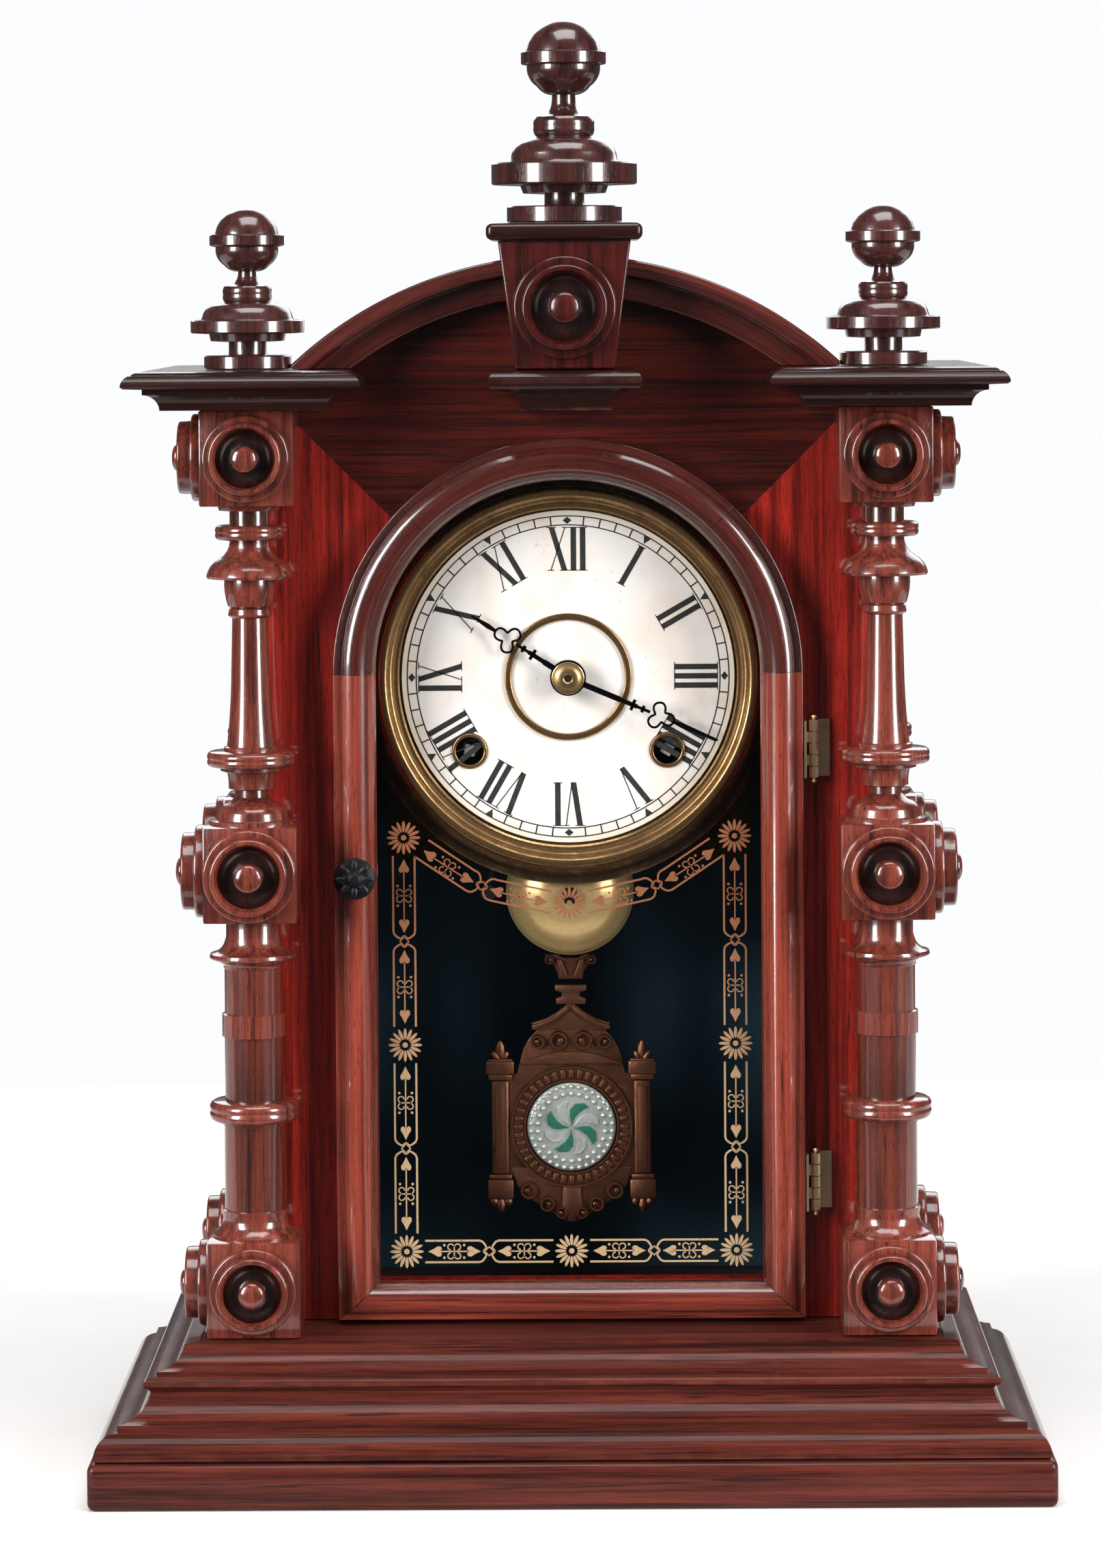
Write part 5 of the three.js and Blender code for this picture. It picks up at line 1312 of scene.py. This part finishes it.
# %% Hinges
def hinge(word):
    low, high = span(f"{word}_hinge_pin")
    centre = (low + high) / 2
    bm = bmesh.new()
    tip = (high.z - low.z) / 2
    profile = [(0, -tip), (0.8, -tip + 0.1, -0.2), (1.15, -tip + 0.7, -0.2), (0.75, -tip + 1.3), (0.7, -tip + 1.4)]
    profile += [(r, -z, *[-b for b in bend]) for r, z, *bend in reversed([(p[0], p[1]) for p in profile])]
    turn(bm, profile, centre, Matrix(), 16, 3)
    finish(f"{word}_pin", bm, "case", "brass", hinge_brass, [f"{word}_hinge_pin"])
    dress(hinge_brass, f"{word}_hinge_case_leaf", f"{word}_hinge_door_leaf")


for word in ("upper", "lower"):
    hinge(word)

# %% [markdown]
# # The dial
# A brass pan flares out behind the opening and carries a sheet of paper. A rounded brass bezel holds the
# paper's edge, and a small ring frames the hole for the hands. Eyelets line the two winding holes.

# %% Pan, paper, bezel and ring
def holes_through(bm, places, radius, low_y, high_y):
    """Cuts round holes through a piece that faces the front, and gives back the cut piece."""
    tool = bmesh.new()
    for x, z in places:
        turn(tool, [(0, 0), (radius, 0), (radius, high_y - low_y), (0, high_y - low_y)], (x, high_y, z), TO_FRONT, 40, 3)
    made = []
    for part in (bm, tool):
        mesh = bpy.data.meshes.new("scratch")
        part.to_mesh(mesh)
        part.free()
        made.append(bpy.data.objects.new("scratch", mesh))
        bpy.context.scene.collection.objects.link(made[-1])
    cutter = made[0].modifiers.new("holes", "BOOLEAN")
    cutter.operation, cutter.object, cutter.solver = "DIFFERENCE", made[1], "EXACT"
    result = bmesh.new()
    result.from_object(made[0], bpy.context.evaluated_depsgraph_get())
    for scrap in made:
        mesh = scrap.data
        bpy.data.objects.remove(scrap)
        bpy.data.meshes.remove(mesh)
    return result


WINDING = [(middle(node).x, middle(node).z) for node in ("time_winding_arbor", "strike_winding_arbor")]
EYELET_HOLE, EYELET_R = 4.7, 5.85


def dial():
    bm = bmesh.new()
    profile = [(4.0, -1.2), (4.0, 0), (58, 0), (63.1, 1.0), (64.6, 1.0), (66.2, 0.2), (69.3, -2.6, 0.08), (70, -3.0),
               (70, -4.2), (69.2, -4.0), (64.1, -1.2)]
    turn(bm, profile, (DIAL.x, 0, DIAL.z), TO_FRONT, 96, 4, closed=True)
    bm = holes_through(bm, WINDING, EYELET_HOLE, -3, 5)
    plain = set(bm.faces)
    for x, z in WINDING:
        lip = [(EYELET_HOLE, -1.0), (EYELET_HOLE, 1.5), (5.0, 1.8, -0.2), (5.5, 1.8), (EYELET_R, 1.4, -0.2), (EYELET_R, -1.0)]
        turn(bm, lip, (x, 0, z), TO_FRONT, 36, 3, closed=True)
    for face in set(bm.faces) - plain:
        face.material_index = 1
    plain = set(bm.faces)
    # The tubes behind the winding holes take the near-black painted shade of the case's inside.
    for x, z in WINDING:
        turn(bm, [(4.9, -28), (4.9, -1.1), (5.3, -1.1), (5.3, -28)], (x, 0, z), TO_FRONT, 32, 3, closed=True)
    for face in set(bm.faces) - plain:
        face.material_index = 2
    low, high = span("dial_pan")
    for degrees in (-64.4, 64.4, -145.8, 145.8):
        reach = 55.5 if abs(degrees) < 90 else 64.0
        a = math.radians(degrees)
        place = (DIAL.x + reach * math.sin(a), high.y, DIAL.z + reach * math.cos(a))
        turn(bm, [(0, 0), (1.8, 0), (1.8, high.y - 0.8), (0, high.y - 0.8)], place, TO_FRONT, 16, 3)
    finish("dial_back_pan", bm, "case", "brass", [pan_brass, old_brass, inner_painted_shade], ["dial_pan"])

    low, high = span("dial_paper")
    bm = bmesh.new()
    radius = high.x
    turn(bm, [(4.0, 0), (4.0, 0.6), (radius, 0.6), (radius, 0)], (DIAL.x, high.y, DIAL.z), TO_FRONT, 96, 3, closed=True)
    bm = holes_through(bm, WINDING, EYELET_R + 0.2, -3, 3)
    finish("dial_sheet", bm, "case", "paper", paper, ["dial_paper"])

    low, high = span("dial_bezel")
    bm = bmesh.new()
    depth = high.y - low.y
    profile = [(56.3, 0), (56.3, 1.4), (56.9, 1.9), (58.4, 2.1, 0.05), (58.8, 2.7), (59.6, 3.1, -0.1), (60.1, 5.6, 0.18),
               (61.7, depth, -0.25), (63.5, 5.4, -0.24), (63.6, 4.3), (64.1, 3.9), (64.1, 0)]
    turn(bm, profile, (DIAL.x, high.y, DIAL.z), TO_FRONT, 128, 5, closed=True)
    finish("round_bezel", bm, "case", "brass", old_brass, ["dial_bezel"])

    low, high = span("dial_ring")
    bm = bmesh.new()
    profile = [(19.0, 0), (19.0, 0.5), (19.5, 0.8, -0.15), (20.7, 0.8), (21.2, 0.5, -0.15), (21.2, 0)]
    turn(bm, profile, (DIAL.x, high.y, DIAL.z), TO_FRONT, 80, 3, closed=True)
    finish("center_ring", bm, "case", "brass", old_brass, ["dial_ring"])


dial()

# %% [markdown]
# ## Printed dial
# The chapter ring is printed in black: hour numerals that stand on the centre, a double line with a tick
# for each minute, a triangle at each hour and a diamond at each quarter. Each numeral is built from thick
# and thin strokes with hairline serifs, as a sign writer would, and laid on the paper as a film of ink.

# %% Printing
INK_Y = span("dial_paper")[0].y
INK_T = 0.05
NUMERAL_IN, NUMERAL_OUT = 35.4, 50.0
TRACK_IN, TRACK_OUT = 50.7, 53.7
THICK, THIN = 1.85, 0.36
LETTER_W = {"I": 3.1, "V": 7.4, "X": 7.2}
NUMERALS = ("XII", "I", "II", "III", "IIII", "V", "VI", "VII", "VIII", "IX", "X", "XI")


def printed(bm, points, degrees):
    """A filled shape of ink. Points are [across, out from the centre], turned to an hour."""
    a = math.radians(degrees)
    face = []
    for across, out in points:
        x = DIAL.x + across * math.cos(a) + out * math.sin(a)
        z = DIAL.z - across * math.sin(a) + out * math.cos(a)
        face.append(bm.verts.new((x, INK_Y - 0.01, z)))
    bm.faces.new(face)


def stroke(bm, foot, head, width, degrees):
    """A stroke from foot to head, cut level at both ends."""
    half = width / 2
    printed(bm, [(foot - half, NUMERAL_IN), (foot + half, NUMERAL_IN), (head + half, NUMERAL_OUT), (head - half, NUMERAL_OUT)], degrees)


def serif(bm, centre, width, at_head, degrees):
    level = NUMERAL_OUT if at_head else NUMERAL_IN
    inward = -0.3 if at_head else 0.3
    printed(bm, [(centre - width / 2, level), (centre + width / 2, level), (centre + width / 2, level + inward),
                 (centre - width / 2, level + inward)], degrees)


def letter(bm, sign, centre, degrees):
    if sign == "I":
        stroke(bm, centre, centre, THICK, degrees)
        for at_head in (False, True):
            serif(bm, centre, 3.1, at_head, degrees)
    elif sign == "V":
        stroke(bm, centre, centre - 2.2, THICK, degrees)
        stroke(bm, centre + 0.5, centre + 2.5, THIN, degrees)
        serif(bm, centre - 2.2, 3.2, True, degrees)
        serif(bm, centre + 2.5, 2.2, True, degrees)
    else:
        stroke(bm, centre + 2.2, centre - 2.2, THICK, degrees)
        stroke(bm, centre - 2.4, centre + 2.4, THIN, degrees)
        for at_head, thick, thin in ((True, -2.2, 2.4), (False, 2.2, -2.4)):
            serif(bm, centre + thick, 3.2, at_head, degrees)
            serif(bm, centre + thin, 2.2, at_head, degrees)


def printing():
    bm = bmesh.new()
    for hour, numeral in enumerate(NUMERALS):
        degrees = hour * 30
        width = sum(LETTER_W[sign] for sign in numeral)
        squeeze = min(1.0, 17.5 / width)
        start = -width / 2
        fresh_from = len(bm.verts)
        for sign in numeral:
            letter(bm, sign, (start + LETTER_W[sign] / 2), degrees)
            start += LETTER_W[sign]
        if squeeze < 1:
            bm.verts.ensure_lookup_table()
            a = math.radians(degrees)
            across = Vector((math.cos(a), 0, -math.sin(a)))
            centre = Vector((DIAL.x, 0, DIAL.z))
            for vert in bm.verts[fresh_from:]:
                vert.co -= across * (vert.co - centre).dot(across) * (1 - squeeze)
    for minute in range(60):
        degrees = minute * 6
        if minute % 15 == 0:
            printed(bm, [(0, TRACK_IN + 0.3), (1.5, 52.2), (0, TRACK_OUT - 0.3), (-1.5, 52.2)], degrees)
        elif minute % 5 == 0:
            printed(bm, [(0, TRACK_IN + 0.3), (1.3, TRACK_OUT - 0.2), (-1.3, TRACK_OUT - 0.2)], degrees)
        else:
            printed(bm, [(-0.23, TRACK_IN), (0.23, TRACK_IN), (0.23, TRACK_OUT), (-0.23, TRACK_OUT)], degrees)
    for radius in (TRACK_IN, TRACK_OUT):
        for i in range(180):
            a, b = math.radians(i * 2), math.radians(i * 2 + 2)
            inner, outer = radius - 0.2, radius + 0.2
            ring = [(inner * math.sin(a), inner * math.cos(a)), (outer * math.sin(a), outer * math.cos(a)),
                    (outer * math.sin(b), outer * math.cos(b)), (inner * math.sin(b), inner * math.cos(b))]
            printed(bm, ring, 0)
    bmesh.ops.recalc_face_normals(bm, faces=bm.faces)
    grown = bmesh.ops.extrude_face_region(bm, geom=list(bm.faces), use_keep_orig=True)["geom"]
    bmesh.ops.translate(bm, vec=(0, -INK_T, 0), verts=[g for g in grown if isinstance(g, bmesh.types.BMVert)])
    finish("printed_chapter", bm, "case", "paper", ink, merge=False)


printing()

# %% [markdown]
# # Hands
# The hands are sawn from thin steel and blacked. Each is a tapering shaft with a pierced trefoil and a
# small crossbar under a spear point. Rings make the trefoil, and the rest is flat outline. The hands are
# shaped pointing at twelve and then turned to the hour and minute they show.

# %% Hands and nut
def hand(name, node, body, length, degrees, hub, at):
    low, high = span(node)
    back, thick = high.y, high.y - low.y
    bm = bmesh.new()
    foot = at - 6.4
    ring = []
    for i in range(60):
        a = math.radians(i * 6)
        reach = 3.55 + 1.35 * math.cos(3 * a) - 0.25 * math.cos(6 * a)
        ring.append((reach * math.sin(a), at + reach * math.cos(a)))
    strip(bm, ring, 0.75, True, back)
    for x, z in ((0, foot - 3.6), (0, foot)):
        wide = 1.9 if z < foot else 1.2
        strip(bm, [(x - wide, z), (x + wide, z)], 1.1, False, back)
    strip(bm, [(0, 2), (0, foot - 8)], 1.9, False, back)
    strip(bm, [(0, foot - 8.2), (0, foot - 2)], 1.5, False, back)
    strip(bm, [(0, foot - 2.2), (0, foot + 2.6)], 1.0, False, back)
    spear = at + 4.4
    bm.faces.new([bm.verts.new((x, back, z)) for x, z in (
        (-0.5, spear), (0.5, spear), (0.85, spear + 3.2), (0.35, length), (-0.35, length), (-0.85, spear + 3.2))])
    bmesh.ops.recalc_face_normals(bm, faces=bm.faces)
    grown = bmesh.ops.extrude_face_region(bm, geom=list(bm.faces), use_keep_orig=True)["geom"]
    bmesh.ops.translate(bm, vec=(0, -thick, 0), verts=[g for g in grown if isinstance(g, bmesh.types.BMVert)])
    turn(bm, [(1.9, 0), (hub, 0), (hub, thick), (1.9, thick)], (0, back, 0), TO_FRONT, 32, 3, closed=True)
    place = Matrix.Translation((DIAL.x, 0, DIAL.z)) @ Matrix.Rotation(math.radians(degrees), 4, "Y")
    bmesh.ops.transform(bm, matrix=place, verts=bm.verts)
    finish(name, bm, body, "black_iron", hand_black, [node], merge=False)


def nut():
    low, high = span("hand_nut")
    depth = high.y - low.y
    bm = bmesh.new()
    profile = [(1.3, 0), (5.4, 0), (5.4, 1.2), (5.0, 1.8, -0.2), (3.2, depth, -0.06), (1.7, depth), (1.3, depth - 0.3)]
    turn(bm, profile, (DIAL.x, high.y, DIAL.z), TO_FRONT, 48, 4, closed=True)
    finish("round_nut", bm, "minute_train", "brass", nut_brass, ["hand_nut"])


hand("hour_hand_pierced", "hour_hand", "hour_train", 38.3, 303, 5.0, 24.0)
hand("minute_hand_pierced", "minute_hand", "minute_train", 54.0, 113, 6.0, 33.4)
nut()

# %% [markdown]
# # Bell
# The hour strikes on a small brass bell that faces the front, a bowl on a stud with a dark nut. It is
# spun from its section, inside and outside, and has a rolled rim.

# %% Bell
def bell():
    low, high = span("bell")
    radius = (high.x - low.x) / 2
    depth = high.y - low.y
    bm = bmesh.new()
    profile = [
        (1.8, depth), (5.0, depth - 0.2, -0.03), (12.5, depth - 2.2, -0.05), (18.2, depth - 6.2, -0.07),
        (20.8, 3.2, -0.05), (21.4, 1.8, 0.1), (radius, 1.2, -0.2), (radius, 0), (20.4, 0), (19.8, 3.0),
        (17.2, depth - 7.0, 0.07), (12.0, depth - 3.3, 0.05), (5.0, depth - 1.3), (1.8, depth - 1.2),
    ]
    turn(bm, profile, ((low.x + high.x) / 2, high.y, (low.z + high.z) / 2), TO_FRONT, 72, 6, closed=True)
    finish("bell_bowl", bm, "case", "brass", bell_brass, ["bell"])


bell()
dress(black_iron, "bell_standard")

# %% [markdown]
# # Pendulum
# The bob is a casting in the shape of a small shrine: a crest, a flared roof, two columns with capitals
# and pendants, an arch with scrolls, and a scrolled foot. A ring of beads in the middle holds a disc of
# cut glass with a wheel of green petals. Each part is a flat outline or a turning laid on the casting.

# %% Bob frame
BOB = Vector((0, span("pendulum_bob")[0].y, middle("bob_glass").z))
BOB_BACK = span("pendulum_bob")[1].y


def scroll(bm, x, z, radius, hand):
    """A round scroll with an eye, laid on the casting."""
    back = BOB_BACK - 1.6
    turn(bm, [(radius * 0.58, 0), (radius, 0), (radius * 0.86, 1.7), (radius * 0.66, 1.7)], (x, back, z), TO_FRONT, 28, 3, closed=True)
    turn(bm, [(0, 0), (radius * 0.34, 0), (radius * 0.26, 1.5), (0, 1.8)], (x + hand * radius * 0.2, back, z), TO_FRONT, 16, 3)


def bob():
    bm = bmesh.new()
    c = BOB.z
    back = BOB_BACK

    def plate(points, thick, soft=0.4, behind=0.0):
        flat(bm, mirrored([(x, c + z) for x, z in points]), back - behind, thick, soft)

    plate([(4.0, 50.3), (4.6, 53.0), (6.2, 55.6), (8.4, 55.8), (8.4, 58.6), (4.4, 58.9), (2.6, 57.6)], 2.0)
    for side in (-1, 1):
        flat(bm, [(side * 1.0, c + 51.2), (side * 3.0, c + 56.8), (side * 4.6, c + 57.4), (side * 3.4, c + 51.2)], back - 1.8, 1.4, 0.3)
        scroll(bm, side * 7.2, c + 57.0, 1.7, -side)
    plate([(5.0, 41.8), (5.0, 43.8), (3.1, 44.4), (3.1, 45.8), (5.4, 46.6), (5.4, 48.4)], 3.0)
    plate([(12.4, 33.0), (13.4, 35.4), (8.6, 36.8), (4.4, 39.2), (1.0, 42.0)], 2.4)
    for side in (-1, 1):
        ridge = [(side * 13.4, c + 34.6), (side * 8.8, c + 36.0), (side * 4.8, c + 38.4), (side * 1.2, c + 41.4)]
        ridge += [(side * 0.6, c + 40.2), (side * 4.2, c + 37.0), (side * 8.4, c + 34.6), (side * 13.0, c + 33.2)]
        flat(bm, ridge, back - 2.2, 1.5, 0.3)
        scroll(bm, side * 4.2, c + 29.4, 3.4, -side)
        scroll(bm, side * 11.2, c + 29.0, 2.6, side)
    plate([(19.4, 14.0), (17.3, 22.5), (16.4, 26.0), (14.6, 29.6), (12.2, 32.2), (11.6, 33.4)], 1.8)
    plate([(17.6, 21.4), (15.0, 22.6), (9.0, 24.6), (4.0, 25.6)], 1.4, 0.4, 1.6)
    turn(bm, [(15.4, 0), (20.6, 0), (20.6, 2.0), (15.4, 2.0)], (0, back, c), TO_FRONT, 72, 3, closed=True)
    for radius in (15.9, 20.3):
        turn(bm, [(radius - 0.45, 0), (radius + 0.45, 0), (radius + 0.3, 1.2), (radius - 0.3, 1.2)],
             (0, back - 1.9, c), TO_FRONT, 72, 3, closed=True)
    for i in range(40):
        lean = Matrix.Rotation(i * math.tau / 40, 4, "Y")
        made = bmesh.ops.create_cube(bm, size=1.0)["verts"]
        tooth = Matrix.Translation((0, back - 2.4, c)) @ lean @ Matrix.Translation((0, 0, 18.1)) @ Matrix.Diagonal((1.5, 1.1, 3.0, 1))
        bmesh.ops.transform(bm, matrix=tooth, verts=made)
        soften(bm, list({e for v in made for e in v.link_edges}), 0.3, 2)
    for side in (-1, 1):
        flat(bm, [(side * 15.0, c - 17), (side * 21.4, c - 17), (side * 21.4, c + 17.5), (side * 15.0, c + 19)], back, 1.6, 0.2)
        x = side * 24.2
        block(bm, (x - 3.1, back - 2.6, c - 16.4), (x + 3.1, back, c + 16.0), 1.0, 3)
        flat(bm, [(x - 1.6, c - 14.4), (x + 1.6, c - 14.4), (x + 1.6, c + 13.8), (x - 1.6, c + 13.8)], back - 2.4, 0.8, 0.4)
        for low, high, half in ((16.0, 18.0, 4.0), (18.0, 22.4, 4.8), (22.2, 23.2, 4.2), (-18.0, -16.2, 3.9), (-24.6, -18.0, 4.4)):
            block(bm, (x - half, back - 3.2, c + low), (x + half, back, c + high), 0.5, 2)
        for lean, tall, wide in ((-38, 4.6, 1.3), (0, 7.4, 1.7), (38, 4.6, 1.3)):
            shape = Matrix.Translation((x, back - 1.5, c + 22.0)) @ Matrix.Rotation(math.radians(lean), 4, "Y")
            made = bmesh.ops.create_uvsphere(bm, u_segments=12, v_segments=8, radius=1.0)["verts"]
            squash = Matrix.Translation((0, 0, tall / 2)) @ Matrix.Diagonal((wide, 1.2, tall / 2, 1))
            bmesh.ops.transform(bm, matrix=shape @ squash, verts=made)
        for offset, drop in ((-2.4, 2.4), (2.4, 2.4), (0, 4.6)):
            made = bmesh.ops.create_uvsphere(bm, u_segments=12, v_segments=8, radius=1.0)["verts"]
            pendant = Matrix.Translation((x + offset, back - 1.5, c - 24.4 - drop / 2)) @ Matrix.Diagonal((1.6, 1.2, drop / 2 + 0.6, 1))
            bmesh.ops.transform(bm, matrix=pendant, verts=made)
        scroll(bm, side * 14.6, c - 21.8, 3.2, side)
        scroll(bm, side * 8.4, c - 26.4, 2.8, -side)
        scroll(bm, side * 3.4, c - 29.4, 2.2, side)
    plate([(20.6, -14.0), (18.8, -20.0), (14.4, -24.8), (8.6, -28.2), (4.4, -31.4), (1.8, -32.6)], 1.8)
    plate([(3.0, -20.6), (3.4, -27.0), (1.0, -32.4)], 1.2, 0.4, 1.6)
    finish("bob_casting", bm, "pendulum", "cast_bronze", bronze, ["pendulum_bob"], merge=False)


bob()


# %% Cut glass
def petal_wheel(bm, radius, start, count, front):
    """Comma-shaped petals that run round a wheel."""
    edge = [(share, 0.10 + 0.62 * share) for share in (0.08, 0.3, 0.55, 0.8, 0.95)]
    edge += [(0.97, 0.46), (0.86, 0.16), (0.66, -0.06), (0.42, -0.14), (0.2, -0.06)]
    for i in range(count):
        points = []
        for share, ahead in edge:
            a = start + i * math.tau / count + ahead
            points.append((BOB.x + radius * share * math.sin(a), BOB.z + radius * share * math.cos(a)))
        flat(bm, points, front, 0.6, 0.2, 1, 2)


def cut_glass():
    low, high = span("bob_glass")
    bm = bmesh.new()
    depth = high.y - low.y
    profile = [(0, 0), (15.0, 0), (15.0, 1.4), (13.8, 2.2, 0.15), (11.0, depth - 1.2, 0.08), (0, depth - 0.8, 0.04)]
    turn(bm, profile, (BOB.x, high.y, BOB.z), TO_FRONT, 64, 5)
    for count, radius, size, rise in ((34, 13.9, 0.8, 2.4), (26, 11.5, 0.85, depth - 1.1)):
        for i in range(count):
            a = i * math.tau / count
            made = bmesh.ops.create_uvsphere(bm, u_segments=10, v_segments=6, radius=size)["verts"]
            bead = Matrix.Translation((radius * math.sin(a), high.y - rise, BOB.z + radius * math.cos(a)))
            bmesh.ops.transform(bm, matrix=bead, verts=made)
    petal_wheel(bm, 9.6, math.pi / 4, 4, high.y - depth + 1.0)
    finish("glass_disc", bm, "pendulum", "cut_glass", silvered, ["bob_glass"], merge=False)
    bm = bmesh.new()
    petal_wheel(bm, 9.6, 0, 4, high.y - depth + 0.9)
    finish("green_petals", bm, "pendulum", "cut_glass", green_glass, merge=False)


cut_glass()
dress(steel, "pendulum_rod")

# %% [markdown]
# # Movement
# Behind the dial two brass plates hold two trains. Little of it shows, so the solids of the frame stay,
# with lacquered brass for plates and wheels, bright steel for arbors, and blue-black for the springs.

# %% Movement
dress(
    movement_brass,
    "front_plate", "back_plate", "time_great_wheel", "strike_great_wheel", "third_wheel", "escape_wheel",
    "minute_wheel", "hour_wheel", "center_arbor",
)
dress(steel, "time_winding_arbor", "strike_winding_arbor", "verge")
dress(spring_steel, "time_mainspring", "strike_mainspring", "hammer")
print("movement dressed")

# %% [markdown]
# # Floor
# The clock stands on a plain, pale floor. It ends a little in front of the clock, so that the polished
# front mirrors the dim room and keeps its depth of colour, and it fades into the white backdrop behind.

# %% Floor
def pale_floor():
    bm = bmesh.new()
    bmesh.ops.create_grid(bm, x_segments=1, y_segments=1, size=1.0)
    bmesh.ops.scale(bm, vec=(1.3, 0.47, 1), verts=bm.verts)
    bmesh.ops.translate(bm, vec=(0, 0.30, 0), verts=bm.verts)
    mesh = bpy.data.meshes.new("floor")
    bm.to_mesh(mesh)
    bm.free()
    floor = bpy.data.objects.new("floor", mesh)
    bpy.context.scene.collection.objects.link(floor)
    chalk = Finish("floor_pale")
    grain = chalk.noise(chalk.place(), 0.02, 4, 0.6)
    tone = chalk.mix((0.66, 0.655, 0.65), (0.60, 0.595, 0.59), grain)
    mesh.materials.append(chalk.surface(base_color=tone, roughness=0.75 + grain * 0.15, normal=chalk.bump(grain, 0.05, 0.2)))


pale_floor()

# %% [markdown]
# # Pieces made
# The clock must fill the same room as its plain solids. The number of fine pieces made is printed.

print(len(pieces_made), "pieces made")
